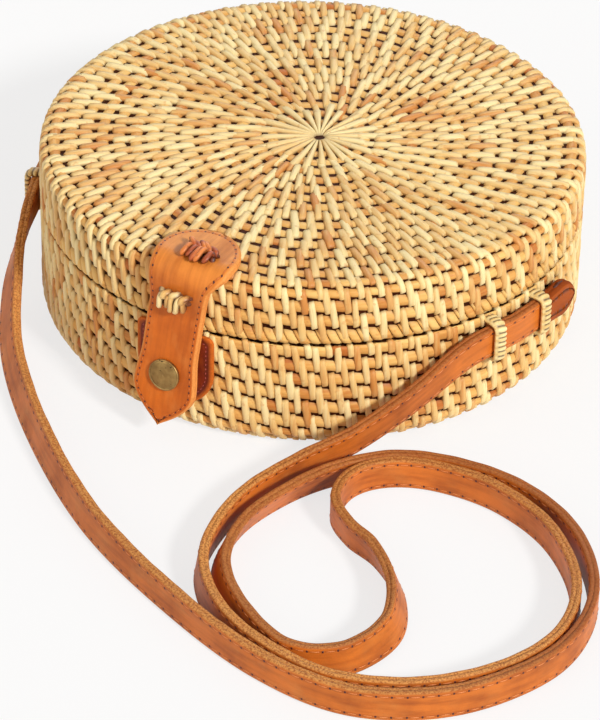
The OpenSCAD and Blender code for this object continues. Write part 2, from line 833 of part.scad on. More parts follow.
echo("Least gap of a knot's cane to itself",
    least_gap([for (i = [0 : 0.25 : 9 + knot_steps]) spline(knot_path(), i)], 20) - 2 * cane_r);

module upper_knot() {
    at_upper_knot() knot();
}

module lower_knot() {
    at_lower_knot() knot();
}

// Half the flap's width at a distance down from the bend
function flap_half_w(d) =
    d < belly_down
    ? let (t = max(0, 2 * d / belly_down - 1))
        neck_half_w + (belly_half_w - neck_half_w) * pow(t, 2) * (3 - 2 * t)
    : belly_half_w * (1 - pow((d - belly_down) / (flap_l - belly_down), 1.8));

module flap_outline() {
    steps = 24;
    right = [for (i = [0 : steps]) let (d = flap_l * i / steps) [flap_half_w(d), -d]];
    polygon(concat([[-neck_half_w, leather_t], [neck_half_w, leather_t]], right,
        [for (i = [steps - 1 : -1 : 0]) [-right[i][0], right[i][1]]]));
}

// One layer of the flap, with its upper end round about the bend
module flap_layer(from) {
    at_bend()
        difference() {
            intersection() {
                translate([0, from + leather_t, 0])
                    rotate([90, 0, 0])
                        linear_extrude(leather_t)
                            flap_outline();
                union() {
                    rotate([0, 90, 0])
                        cylinder(r = leather_t, h = 4 * belly_half_w, center = true);
                    translate([-2 * belly_half_w, -2 * leather_t, -flap_l - over])
                        cube([4 * belly_half_w, 4 * leather_t, flap_l + over]);
                }
            }
            translate([0, 0, -snap_down])
                rotate([90, 0, 0])
                    cylinder(r = shank_r + hole_play, h = 4 * leather_t, center = true);
        }
}

module flap_back() {
    color(leather_deep)
        flap_layer(0);
}

module flap_face() {
    color(leather)
        flap_layer(-leather_t);
}

// The domed cap with its rolled edge, and the shank that holds the socket
module snap_cap() {
    edge_r = cap_h * 0.3;
    dome = [for (i = [0 : corner_steps])
        let (a = 90 * i / corner_steps)
        [(cap_r - edge_r) * sin(90 - a) * 0.92, edge_r + (cap_h - edge_r) * sin(a)]];
    color(brass)
        at_snap() {
            translate([0, 0, leather_t + glue]) {
                ring_of(concat([[0, 0], [cap_r - edge_r, 0]], dome));
                rotate_extrude()
                    translate([cap_r - edge_r, edge_r])
                        circle(r = edge_r, $fn = 24);
            }
            translate([0, 0, -leather_t - socket_h * 0.3])
                cylinder(r = shank_r, h = tab_t + socket_h * 0.3 + 2 * glue);
        }
}

// The socket on the back of the flap, open towards the stud
module snap_socket() {
    color(brass)
        at_snap()
            translate([0, 0, -leather_t - glue - socket_h])
                difference() {
                    cylinder(r = socket_r, h = socket_h);
                    translate([0, 0, -over])
                        cylinder(r = stud_r + 2 * hole_play, h = over + socket_h * 0.6);
                    cylinder(r = shank_r + glue, h = 2 * socket_h);
                }
}

// Sections of the strap: a flat band on edge, its corners cut off
function strap_section(p, t, bank) =
    let (level = unit(cross(t, [0, 0, 1])), steep = cross(level, t),
        side = level * cos(bank) + steep * sin(bank), up = steep * cos(bank) - level * sin(bank),
        w = strap_w / 2, h = strap_t / 2, c = strap_chamfer,
        shape = [[h, w - c], [h - c, w], [c - h, w], [-h, w - c],
            [-h, c - w], [c - h, -w], [h - c, -w], [h, c - w]])
    [for (q = shape) p + side * q[0] + up * q[1]];

module shoulder_strap() {
    end = len(strap_route) - 1;
    color(leather)
        skin([for (i = [0 : strap_rings - 1])
            let (at = end * i / (strap_rings - 1),
                near = max(0, at - 0.05), far = min(end, at + 0.05))
            strap_section(spline(strap_route, at),
                unit(spline(strap_route, far) - spline(strap_route, near)),
                spline(strap_bank, at))]);
}

echo("Least gap of the strap to itself",
    least_gap([for (i = [0 : 0.1 : len(strap_route) - 1]) spline(strap_route, i)], 40) - strap_t);

// The strap's flared end: doubled leather with a slit, too wide to slip back through its loops
module strap_end_outline() {
    tip = strap_end_l - strap_end_w / 2;
    polygon([[0, -strap_w / 2], [tip, -strap_end_w / 2], [tip, strap_end_w / 2],
        [0, strap_w / 2]]);
    translate([tip, 0])
        circle(r = strap_end_w / 2);
}

module strap_end(side, from, next) {
    slit_l = strap_end_l * 0.5;
    slit_w = strap_end_t * 0.22;
    color(leather)
        mirror([side < 0 ? 1 : 0, 0, 0])
            translate([side * from[0], from[1], from[2]])
                rotate([0, 0, atan2(from[1] - next[1], side * (from[0] - next[0]))])
                    rotate([90, 0, 0])
                        difference() {
                            translate([glue, 0, -strap_t / 2])
                                linear_extrude(strap_end_t)
                                    strap_end_outline();
                            translate([strap_end_l * 0.45, 0, strap_end_t - strap_t / 2])
                                rotate(35)
                                    cube([slit_l, slit_w, strap_end_t], center = true);
                        }
}

module strap_end_left() {
    last = len(strap_route) - 1;
    strap_end(-1, strap_route[last], strap_route[last - 1]);
}

module strap_end_right() {
    strap_end(1, strap_route[0], strap_route[1]);
}

base_basket();
base_rim();
locating_hoop();
base_lining();
clasp_patch();
snap_stud();
snap_post();
hinge_loop_left();
hinge_loop_right();
strap_loop_front_left();
strap_loop_rear_left();
strap_loop_front_right();
strap_loop_rear_right();
lid_basket();
lid_star();
lid_rim();
lid_lining();
tab_back();
tab_face();
upper_knot();
lower_knot();
flap_back();
flap_face();
snap_cap();
snap_socket();
shoulder_strap();
strap_end_left();
strap_end_right();
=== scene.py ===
"""Looks of a round shoulder bag of coiled rattan: its woven walls and star, leather closure,
strap, loops, knots, snap and lining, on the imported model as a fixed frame.

Lengths are in metres. The front, with the closure, faces -Y, and the bag rests on Z = 0.
"""

import json
import math

import bpy
import numpy as np
from mathutils import Matrix, Vector


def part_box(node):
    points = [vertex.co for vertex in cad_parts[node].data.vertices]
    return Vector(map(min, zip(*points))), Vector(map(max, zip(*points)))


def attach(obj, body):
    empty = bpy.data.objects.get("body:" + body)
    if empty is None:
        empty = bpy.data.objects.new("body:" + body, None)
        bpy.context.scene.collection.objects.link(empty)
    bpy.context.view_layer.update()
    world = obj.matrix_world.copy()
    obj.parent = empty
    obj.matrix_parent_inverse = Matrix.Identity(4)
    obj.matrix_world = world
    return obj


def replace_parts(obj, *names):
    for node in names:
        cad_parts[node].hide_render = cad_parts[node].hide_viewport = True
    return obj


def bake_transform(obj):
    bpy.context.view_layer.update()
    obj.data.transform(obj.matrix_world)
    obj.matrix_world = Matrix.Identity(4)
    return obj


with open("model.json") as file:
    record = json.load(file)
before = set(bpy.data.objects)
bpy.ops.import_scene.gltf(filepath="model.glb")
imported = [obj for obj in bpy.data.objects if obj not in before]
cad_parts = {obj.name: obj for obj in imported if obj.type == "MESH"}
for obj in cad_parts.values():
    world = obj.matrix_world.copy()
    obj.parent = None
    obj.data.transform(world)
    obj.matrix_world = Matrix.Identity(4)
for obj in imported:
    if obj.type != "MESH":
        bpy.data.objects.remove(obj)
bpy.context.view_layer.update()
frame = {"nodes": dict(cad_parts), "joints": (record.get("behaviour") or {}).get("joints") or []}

bl_info = {
    "name": "Round Rattan Bag",
    "version": (1, 0, 0),
    "blender": (4, 5, 0),
    "location": "3D View > Sidebar > Rattan Bag",
    "description": "Weaves and finishes a round rattan shoulder bag on its packed model",
    "category": "Add Mesh",
}

MM = 0.001
# The bag's radius, the thickness of its walls, and how its foot and the lid's edge are rounded
BAG_R, WALL, FOOT_ROUND, LID_ROUND = 101 * MM, 4 * MM, 10 * MM, 5 * MM
BASE_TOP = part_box("base_rim")[1].z
LID_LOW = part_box("lid_rim")[0].z
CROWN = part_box("lid_star")[1].z
# The lid's top rises from its rounded edge to a flat crown in the middle
CROWN_R = 20 * MM
LID_EDGE = CROWN - 0.95 * MM
# The radii where a wall's outline starts, on its rim, and ends, just clear of the axis
RIM_START, HUB = BAG_R - WALL + 0.3 * MM, 0.3 * MM
BEND = next(j for j in frame["joints"] if j["name"] == "flap_bend")


def linear(red, green, blue):
    """A colour in 0 to 255 as scene light: the usual curve of the screen, undone."""
    c = np.array([red, green, blue]) / 255
    curved = np.where(c <= 0.04045, c / 12.92, ((c + 0.055) / 1.055) ** 2.4)
    return tuple(float(x) for x in curved)


def shade(colour):
    """A colour with full cover, as a node's socket takes it."""
    return (*colour[:3], 1.0)


def number_prop(name, description, value, **more):
    """A setting that is a plain number."""
    return bpy.props.FloatProperty(name=name, description=description, default=value, **more)


def length_prop(name, description, millimetres):
    return number_prop(name, description, millimetres * MM, unit="LENGTH", precision=5)


def angle_prop(name, description, radians):
    return number_prop(name, description, radians, subtype="ANGLE")


def colour_prop(name, description, red, green, blue):
    return bpy.props.FloatVectorProperty(
        name=name, description=description, default=linear(red, green, blue), size=3,
        min=0, max=1, subtype="COLOR")


class BasketSettings(bpy.types.PropertyGroup):
    """Sizes and colours of the coiled basketry."""

    stitch_step: length_prop("Stitch step", "From one stitch to the next along a coil", 7.4)
    stitch_width: length_prop("Stitch width", "Width of a split cane stitch", 2.65)
    stitch_gap: length_prop("Stitch gap", "Gap from a stitch to the one beside it", 0.3)
    stitch_lean: angle_prop(
        "Stitch lean", "Angle that the stitches lean from upright", math.radians(8))
    star_radius: length_prop("Star radius", "Reach of the long stitches in the middle", 20)
    star_count: bpy.props.IntProperty(
        name="Star stitches", description="Number of long stitches in the star", default=24)
    cane_pale: colour_prop("Pale cane", "Sunlit skin of the stitches", 242, 220, 160)
    cane_gold: colour_prop("Golden cane", "Commonest tone of the stitches", 228, 187, 116)
    cane_brown: colour_prop("Brown cane", "Darkest tone of the stitches", 205, 136, 66)
    coil_pale: colour_prop("Pale coil", "Lightest tone of the bare coils", 234, 190, 112)
    coil_mid: colour_prop("Coil", "Commonest tone of the bare coils", 220, 162, 84)
    coil_brown: colour_prop("Brown coil", "Darkest tone of the bare coils", 186, 108, 44)
    # Painted shade: the dark colour laid where the strips dive into the crevices between them
    crevice_shade: colour_prop("Crevice", "Painted shade between the strips", 86, 30, 8)


class StrapSettings(bpy.types.PropertyGroup):
    """Sizes and colours of the shoulder strap, which stands on its edge."""

    width: length_prop("Width", "Width of the strap", 12)
    thickness: length_prop("Thickness", "Thickness of its two layers", 3.8)
    seam_in: length_prop("Seam inset", "Distance of the seams from the edges", 1.7)
    stitch_step: length_prop("Stitch step", "Distance from one stitch to the next", 5)
    top_z: length_prop("Height at the loops", "Middle of the strap where it passes its loops", 36.5)
    floor_z: length_prop("Height on the ground", "Middle of the strap where it lies", 6.4)
    tan: colour_prop("Tan", "Face of the strap", 212, 116, 38)
    tan_deep: colour_prop("Deep tan", "Handled and shaded parts", 132, 58, 16)
    tan_edge: colour_prop("Cut edge", "Fibres on the cut edges", 222, 158, 84)
    end_tan: colour_prop("End", "Redder leather of the strap's ends", 168, 80, 22)


class LeatherSettings(bpy.types.PropertyGroup):
    """Sizes and colours of the leather closure."""

    lean: angle_prop("Lean", "Sideways lean of the closure", math.acos(-BEND["axis"][0]))
    kick: angle_prop(
        "Kick", "Angle that the flap stands out", math.atan2(BEND["axis"][1], BEND["axis"][2]))
    thickness: length_prop("Thickness", "Two layers of leather", 3.6)
    seam_in: length_prop("Seam inset", "Distance of the seam from the edge", 1.8)
    stitch_step: length_prop("Stitch step", "Distance from one stitch to the next", 2.7)
    tan: colour_prop("Tan", "Face of the leather", 212, 108, 26)
    tan_deep: colour_prop("Deep tan", "Handled and shaded leather", 158, 70, 16)
    tan_edge: colour_prop("Cut edge", "Pale fibres on the cut edges", 232, 152, 76)
    # The patch's dark red-brown is its own colour and partly painted shade of the flap over it
    patch_tan: colour_prop("Patch", "Red-brown leather behind the flap", 146, 50, 16)
    patch_deep: colour_prop("Deep patch", "Darkest parts of the patch", 74, 18, 8)
    thread: colour_prop("Thread", "Sewing thread", 208, 116, 48)
    # Painted sheen: a paler tan laid on the head, where its top catches the light
    tan_head_sheen: colour_prop("Head sheen tan", "Paler face of the head, painted as sheen", 234, 152, 66)
    # Painted shade: the dark colour of the needle holes and of the strap ends' slits
    needle_hole_shade: colour_prop("Needle holes", "Holes of the seams", 74, 20, 4)


class StageSettings(bpy.types.PropertyGroup):
    """The camera as it was fitted to the photograph, the lamps and the light from all round."""

    turn: angle_prop("Turn", "Angle round the bag, from its front", math.radians(26.6))
    height: angle_prop("Height", "Angle above the ground", math.radians(35.5))
    roll: angle_prop("Roll", "Roll of the camera", math.radians(1.15))
    distance: length_prop("Distance", "From the camera to the point that it aims at", 1498.6)
    lens: number_prop("Lens", "Focal length for a 36 mm sensor, in millimetres", 195.2,
                      subtype="DISTANCE_CAMERA")
    key: number_prop("Key", "Strength of the lamp at the right", 2.85)
    fill: number_prop("Fill", "Strength of the lamp at the left", 0.45)
    sheen: number_prop(
        "Sheen", "Strength of the lamp behind, which shows only as gloss", 0.9)
    sky: number_prop("Sky", "Strength of the light from all round", 0.42)


# The strap's route, from its right-hand end to its left-hand end, as the model has it: across,
# along, and the share of the way up from the ground to the loops.
STRAP_ROUTE = [
    (.1028, -.0155, 1), (.1012, -.0238, 1), (.0987, -.033, 1), (.0949, -.0425, 1.002),
    (.0884, -.055, .91), (.078, -.073, .568), (.065, -.091, .236), (.051, -.109, .037),
    (.044, -.129, .007), (.042, -.151, 0), (.0475, -.174, 0), (.064, -.193, 0),
    (.087, -.204, 0), (.113, -.208, 0), (.137, -.2005, 0), (.1585, -.182, 0),
    (.171, -.155, 0), (.166, -.126, 0), (.146, -.102, 0), (.121, -.090, 0),
    (.097, -.0888, 0), (.080, -.095, 0), (.071, -.107, 0), (.0725, -.122, 0),
    (.083, -.132, 0), (.097, -.139, 0), (.1115, -.1535, 0), (.119, -.1735, 0),
    (.112, -.194, 0), (.095, -.201, 0), (.074, -.192, 0), (.0545, -.173, 0),
    (.0485, -.148, 0), (.054, -.123, 0), (.065, -.103, 0), (.081, -.0893, 0),
    (.105, -.0833, 0), (.133, -.087, 0), (.158, -.1035, 0), (.174, -.1305, 0),
    (.174, -.1625, 0), (.1545, -.1945, 0), (.124, -.2115, 0), (.088, -.2095, 0),
    (.046, -.1935, 0), (.001, -.1685, 0), (-.040, -.134, .01), (-.072, -.0985, .06),
    (-.088, -.071, .36), (-.0934, -.053, .8), (-.0959, -.041, .985), (-.0985, -.033, 1),
    (-.1011, -.0238, 1), (-.103, -.014, 1), (-.1037, -.0085, 1)]
# The angle that the strap leans at each point, in degrees
STRAP_BANK = [
    0, 0, 0, 0, 3, 10, 10, 6, 0, 4, 9, 6, 0, 0, 0, 0, 0, 0, 0, 0, 0, 0, 0, 0, -4, -12, -22,
    -24, -14, -6, -12, -20, -22, -22, -16, -6, 0, 0, 0, 0, 0, 0, 0, 0, -4, -12, -20, -26, -28,
    -11, -1, 0, 0, 0, 0]
# How far the strap's faces lie under its full thickness, to which its threads come
STRAP_SUNK = 0.1 * MM
# How pale the strap's cut edge is, at distances along it in metres. Its darker stretches
# are partly painted shade.
EDGE_TONE_AND_SHADE = ((0, .09, .15, .33, .48, .7, .9, 1.0, 1.32), (.25, .3, 1, .9, .6, .4, .2, .85, .9))


# Surfaces


def spline(points, at):
    """A smooth curve through points: at each position, counted in points, the cubic whose
    slope at a point is half the step between its two neighbours."""
    p = np.asarray(points, float)
    i = np.minimum(np.floor(at).astype(int), len(p) - 2)
    t = (at - i).reshape((-1,) + (1,) * (p.ndim - 1))
    q = np.concatenate([[2 * p[0] - p[1]], p, [2 * p[-1] - p[-2]]])
    a, b, c, d = q[i], q[i + 1], q[i + 2], q[i + 3]
    return b + (c - a) * t / 2 + (a - 2.5 * b + 2 * c - d / 2) * t**2 \
        + (1.5 * (b - c) + (d - a) / 2) * t**3


def unit(v):
    """Vectors drawn to length 1."""
    return v / np.maximum(np.linalg.norm(v, axis=-1, keepdims=True), 1e-12)


def smooth(x, low, high):
    """0 below low, 1 above high, and 3t² - 2t³ between them."""
    t = np.clip((x - low) / (high - low), 0, 1)
    return t * t * (3 - 2 * t)


def distance_along(points):
    """Distance along a line of points, from its first."""
    steps = np.linalg.norm(np.diff(points, axis=0), axis=1)
    return np.concatenate([[0], steps.cumsum()])


def arc(centre, radius, start, end, count=12):
    """Points of a round corner: centre + radius (cos a, sin a), a from start to end degrees."""
    a = np.radians(np.linspace(start, end, count))
    return np.stack([centre[0] + radius * np.cos(a), centre[1] + radius * np.sin(a)], 1)


def grid(rows, sides, ring=False):
    """Four-cornered faces over rows of corners, each row closed on itself, and the rows
    closed into a ring where asked: corner (i, j) meets (i, j+1), (i+1, j+1) and (i+1, j)."""
    i, j = np.meshgrid(np.arange(rows if ring else rows - 1), np.arange(sides), indexing="ij")
    after, beside = (i + 1) % rows, (j + 1) % sides
    corners = [i * sides + j, i * sides + beside, after * sides + beside, after * sides + j]
    return np.stack(corners, -1).reshape(-1, 4)


def closed_grid(rows, sides):
    """Faces of a tube with a cap on its first and last row."""
    first = np.arange(sides)[None, ::-1]
    return [grid(rows, sides), first, first[:, ::-1] + (rows - 1) * sides]


def volume(co, faces):
    """Six times the signed volume: the sum of a · (b × c) over the triangles of each face."""
    total = 0.0
    for f in faces:
        for k in range(1, f.shape[1] - 1):
            a, b, c = co[f[:, 0]], co[f[:, k]], co[f[:, k + 1]]
            total += float(np.einsum("ij,ij->", a, np.cross(b, c)))
    return total


def mesh_piece(name, co, faces, material, slot, body=None, lie=None, **values):
    """A piece from whole arrays: corner places, lists of faces with as many corners each,
    a flat map named lie in metres, and numbers kept on the corners. Faces are turned
    outwards by the sign of the volume that they enclose."""
    co = np.asarray(co, float).reshape(-1, 3)
    if volume(co, faces) < 0:
        faces = [f[:, ::-1] for f in faces]
    corner = np.concatenate([f.ravel() for f in faces])
    sizes = np.concatenate([np.full(len(f), f.shape[1]) for f in faces])
    mesh = bpy.data.meshes.new(name)
    mesh.vertices.add(len(co))
    mesh.vertices.foreach_set("co", co.ravel())
    mesh.loops.add(len(corner))
    mesh.loops.foreach_set("vertex_index", corner.astype(np.int32))
    mesh.polygons.add(len(sizes))
    mesh.polygons.foreach_set("loop_start", (sizes.cumsum() - sizes).astype(np.int32))
    mesh.update(calc_edges=True)
    mesh.shade_smooth()
    if lie is not None:
        flat = np.asarray(lie, np.float32).reshape(-1, 2)[corner]
        mesh.uv_layers.new(name="lie").data.foreach_set("uv", flat.ravel())
    for key, value in values.items():
        layer = mesh.attributes.new(key, "FLOAT", "POINT")
        layer.data.foreach_set("value", np.asarray(value, np.float32).ravel())
    mesh.materials.append(material)
    piece = bpy.data.objects.new(name, mesh)
    bpy.context.scene.collection.objects.link(piece)
    if body:
        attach(piece, body)
    return piece


class Bead:
    """A short strip lying on a surface, closed all round: how far along, how narrow and how
    high each of its rings is, and how far across and how high each corner of a ring."""

    def __init__(self, along, narrow, rise, across, high):
        self.along, self.narrow, self.rise = (
            np.array(v, float)[:, None] for v in (along, narrow, rise))
        self.across, self.high = (np.array(v, float)[None, :] for v in (across, high))
        self.rings, self.sides = len(along), len(across)

    def strips(self, half_l, half_w, low, top, lean=0.0, tilt=0.0, taper=0.0):
        """Many beads at once, each about its own middle. Along = half length x along + tilt x
        across; across = half width x narrow x across, less the taper, + lean x along; height
        from low to top by rise x high. Also how deep each corner lies, from 0 to 1."""
        half_l, half_w, low, top = (
            np.reshape(v, (-1, 1, 1)) for v in np.broadcast_arrays(half_l, half_w, low, top))
        lean = np.reshape(lean, (-1, 1, 1))
        side = half_w * self.narrow * self.across * (1 - taper * (self.along + 1) / 2)
        run = half_l * self.along
        rise = self.rise * self.high * np.ones_like(side)
        return run + tilt * side, side + lean * run, low + (top - low) * rise, 1 - rise

    def faces(self, count):
        """The faces of that many beads, numbered one bead after another."""
        step = (np.arange(count) * self.rings * self.sides)[:, None, None]
        return [
            (f[None] + step).reshape(-1, f.shape[1]) for f in closed_grid(self.rings, self.sides)]

    def repeated(self, value):
        """One number a bead, kept on each of its corners."""
        return np.repeat(np.asarray(value, float), self.rings * self.sides)


# A stitch, a coil's segment that sinks under the stitches at both ends, a rim's segment that
# sinks at its far end only, and a sewing thread
STITCH = Bead(
    along=[-1, -.96, -.84, -.45, 0, .45, .78, .93, 1], narrow=[.8, .93, 1, 1, 1, 1, .96, .84, .6],
    rise=[0, .58, .9, 1, 1, .98, .88, .56, 0], across=[-1, -.92, -.58, .58, .92, 1],
    high=[0, .7, 1, 1, .7, 0])
COIL_SIDES = {
    "narrow": [1] * 7, "across": [-1, -.95, -.5, .5, .95, 1], "high": [0, .8, 1, 1, .8, 0]}
COIL = Bead(along=[-1, -.86, -.5, 0, .5, .86, 1], rise=[0, .34, .8, 1, .8, .34, 0], **COIL_SIDES)
RIM_COIL = Bead(
    along=[-1, -.93, -.5, 0, .5, .86, 1], rise=[0, .94, 1, 1, .85, .34, 0], **COIL_SIDES)
THREAD = Bead(
    along=[-1, -.7, 0, .7, 1], narrow=[.5, .9, 1, .9, .5], rise=[0, .75, 1, .75, 0],
    across=[-1, -.6, .6, 1], high=[0, 1, 1, 0])


def turned(r, z, angle):
    """Points turned about Z: (r cos a, r sin a, z)."""
    return np.stack(np.broadcast_arrays(r * np.cos(angle), r * np.sin(angle), z), -1)


def around(count):
    """Even angles once round, as a column."""
    return (np.arange(count) * 2 * np.pi / count)[:, None]


def resampled(at, places, line):
    """Each column of a line of points, read at the places given."""
    return np.stack([np.interp(at, places, line[:, k]) for k in range(line.shape[1])], -1)


# The walls of basketry


# Share of the stitches that are left, at shares of the bag's radius
CROWDING = ((0.2, 0.3, 0.45, 0.65, 0.8, 0.95), (0.28, 0.41, 0.57, 0.78, 0.9, 1))
# The most that a strip rises above a wall's outline, and the radius where a side ends
RELIEF, SIDE_R = 0.1 * MM, 0.9 * BAG_R
# A stitch's reach over its two coils, as a share of the pitch: at a rim, on top and on the side
REACH_RIM, REACH_TOP, REACH_SIDE = 0.7, 0.94, 0.985
# How deep the coils lie under the outline: on the side, on top, under the star and at the rims
SINK_SIDE, SINK_TOP, SINK_STAR = 0.5 * MM, 0.8 * MM, 0.95 * MM
SINK_RIM = {"lid": 0.2 * MM, "base": 0.62 * MM}
# How deep the undersides of the strips lie
STITCH_LOW, COIL_LOW, STAR_LOW = -2.2 * MM, -2.5 * MM, -1.9 * MM
# The mean and the scatter of each kind's tone, where 0 is brown and 1 is pale
STITCH_TONE, COIL_TONE, STAR_TONE = (0.68, 0.25), (0.55, 0.25), (0.85, 0.12)
# The scatter of the strips' places, heights and leans, and of the stitches' lengths and widths
STITCH_SCATTER = {
    "place": 0.12 * MM, "top": 0.07 * MM, "lean": 0.035, "length": 0.012, "width": 0.05}
COIL_SCATTER = {"place": 0.08 * MM, "top": 0.06 * MM, "lean": 0.02}


class Wall:
    """An outline that is turned about Z, measured along from its rim's outer corner. outward
    is 1 where the outside lies to the right of the way along, and -1 where it lies to the
    left. aside is how far the middle is drawn to one side."""

    def __init__(self, points, outward, aside=(0, 0)):
        self.aside = aside
        dense = distance_along(points)
        s = np.arange(0, dense[-1], 0.2 * MM)
        self.line = resampled(s, dense, points)
        slope = unit(np.gradient(self.line, axis=0))
        self.normal = outward * np.stack([slope[:, 1], -slope[:, 0]], 1)
        self.s = s - s[np.argmax(self.line[:, 0] > BAG_R - 0.3 * MM)]

    def radius(self, s):
        """The outline's radius at a distance along, and at least 0.5 mm."""
        return np.maximum(np.interp(s, self.s, self.line[:, 0]), 0.5 * MM)

    def reach(self, radius):
        """How far along the last part of the outline comes in to a radius."""
        return self.s[::-1][np.argmax(self.line[::-1, 0] >= radius)]

    def at(self, s, height=0.0):
        """(radius, height) at a distance along, lifted off the outline along its normal."""
        return np.stack([
            np.interp(s, self.s, self.line[:, k]) + height * np.interp(s, self.s, self.normal[:, k])
            for k in (0, 1)], -1)

    def place(self, s, angle, height):
        """Points in space: the outline's point at s, turned by its angle about Z."""
        r, z = np.moveaxis(self.at(s, height), -1, 0)
        return turned(r, z, angle)

    def strips(self, name, bead, at, angle, tone, finish, slot, body, rng, grain=(0, 1), **shape):
        """Beads laid on the wall, each about its own place along and its own angle: the angle
        grows by side / radius. The middle is drawn aside by a shift that fades out with the
        radius, from 4 to 75 mm. grain tells which way the fibres run."""
        run, side, lift, deep = bead.strips(**shape)
        at, angle = (np.reshape(v, (-1, 1, 1)) for v in (at, angle))
        radius = np.maximum(self.radius(at + run), 1.3 * MM)
        co = self.place(at + run, angle + side / radius, np.minimum(lift, RELIEF))
        inwards = 1 - smooth(radius, 4 * MM, 75 * MM)
        co[..., :2] += inwards[..., None] * np.array(self.aside)
        fibres = np.stack([side, run], -1)[..., grain]
        fibres[..., 1] += bead.repeated(rng.random(len(at))).reshape(run.shape)
        # deep drives the painted shade of the cane's finish where a strip dips down
        return mesh_piece(name, co, bead.faces(len(at)), finish, slot, body, fibres,
                          tone=bead.repeated(tone), deep=deep)


def base_wall():
    """The base's outline: out over the rim, down the wall, round the foot, in to the middle."""
    r = 0.3 * MM
    return Wall(np.concatenate([
        [[RIM_START, BASE_TOP]], arc((BAG_R - r, BASE_TOP - r), r, 90, 0),
        arc((BAG_R - FOOT_ROUND, FOOT_ROUND), FOOT_ROUND, 0, -90, 40), [[HUB, 0]]]), -1)


def lid_wall():
    """The lid's outline: out under the rim, up the wall, round the edge, in to the middle,
    which lies a little to one side."""
    r = 0.25 * MM
    return Wall(np.concatenate([
        [[RIM_START, LID_LOW]], arc((BAG_R - r, LID_LOW + r), r, -90, 0),
        arc((BAG_R - LID_ROUND, LID_EDGE - LID_ROUND), LID_ROUND, 0, 90, 30),
        [[CROWN_R, CROWN], [HUB, CROWN]]]), 1, aside=(2.9 * MM, -0.6 * MM))


def columns(rows):
    """Rows of arrays, joined end to end column by column."""
    return [np.concatenate(column) for column in zip(*rows)]


def families(wall, pitch, turn, basket, rng):
    """The stitches of each family, which all lie across one line between two coils: its
    distance along the wall, their angles and their width. Each family lies beside the last,
    a few stitches are left out where the coil gets shorter, and the rest spread evenly."""
    count = int(2 * np.pi * BAG_R / basket.stitch_step)
    rounds, share, top_width, scatter = 30, 0.4, 3 * MM, 0.22 * MM
    angles = np.arange(count) * 2 * np.pi / count
    made, s = [], 0.0
    while wall.radius(s) > basket.star_radius - 4 * MM or s < pitch:
        radius = wall.radius(s)
        extra = len(angles) - int(round(count * np.interp(radius / BAG_R, *CROWDING)))
        if extra > 0:
            out = ((np.arange(extra) + rng.random()) * len(angles) / extra).astype(int)
            angles = np.delete(angles, out)
        for _ in range(rounds):
            near = np.concatenate([[angles[-1] - 2 * np.pi], angles, [angles[0] + 2 * np.pi]])
            angles = angles + share * ((near[:-2] + near[2:]) / 2 - angles)
        step = 2 * np.pi * radius / len(angles)
        on_side = smooth(radius, SIDE_R, 0.985 * BAG_R)
        width = min(top_width - on_side * (top_width - basket.stitch_width), 0.49 * step)
        made.append((s, angles + rng.normal(0, scatter, len(angles)) / radius, width))
        angles = angles + turn * (width + basket.stitch_gap) / radius
        s += pitch
    return made


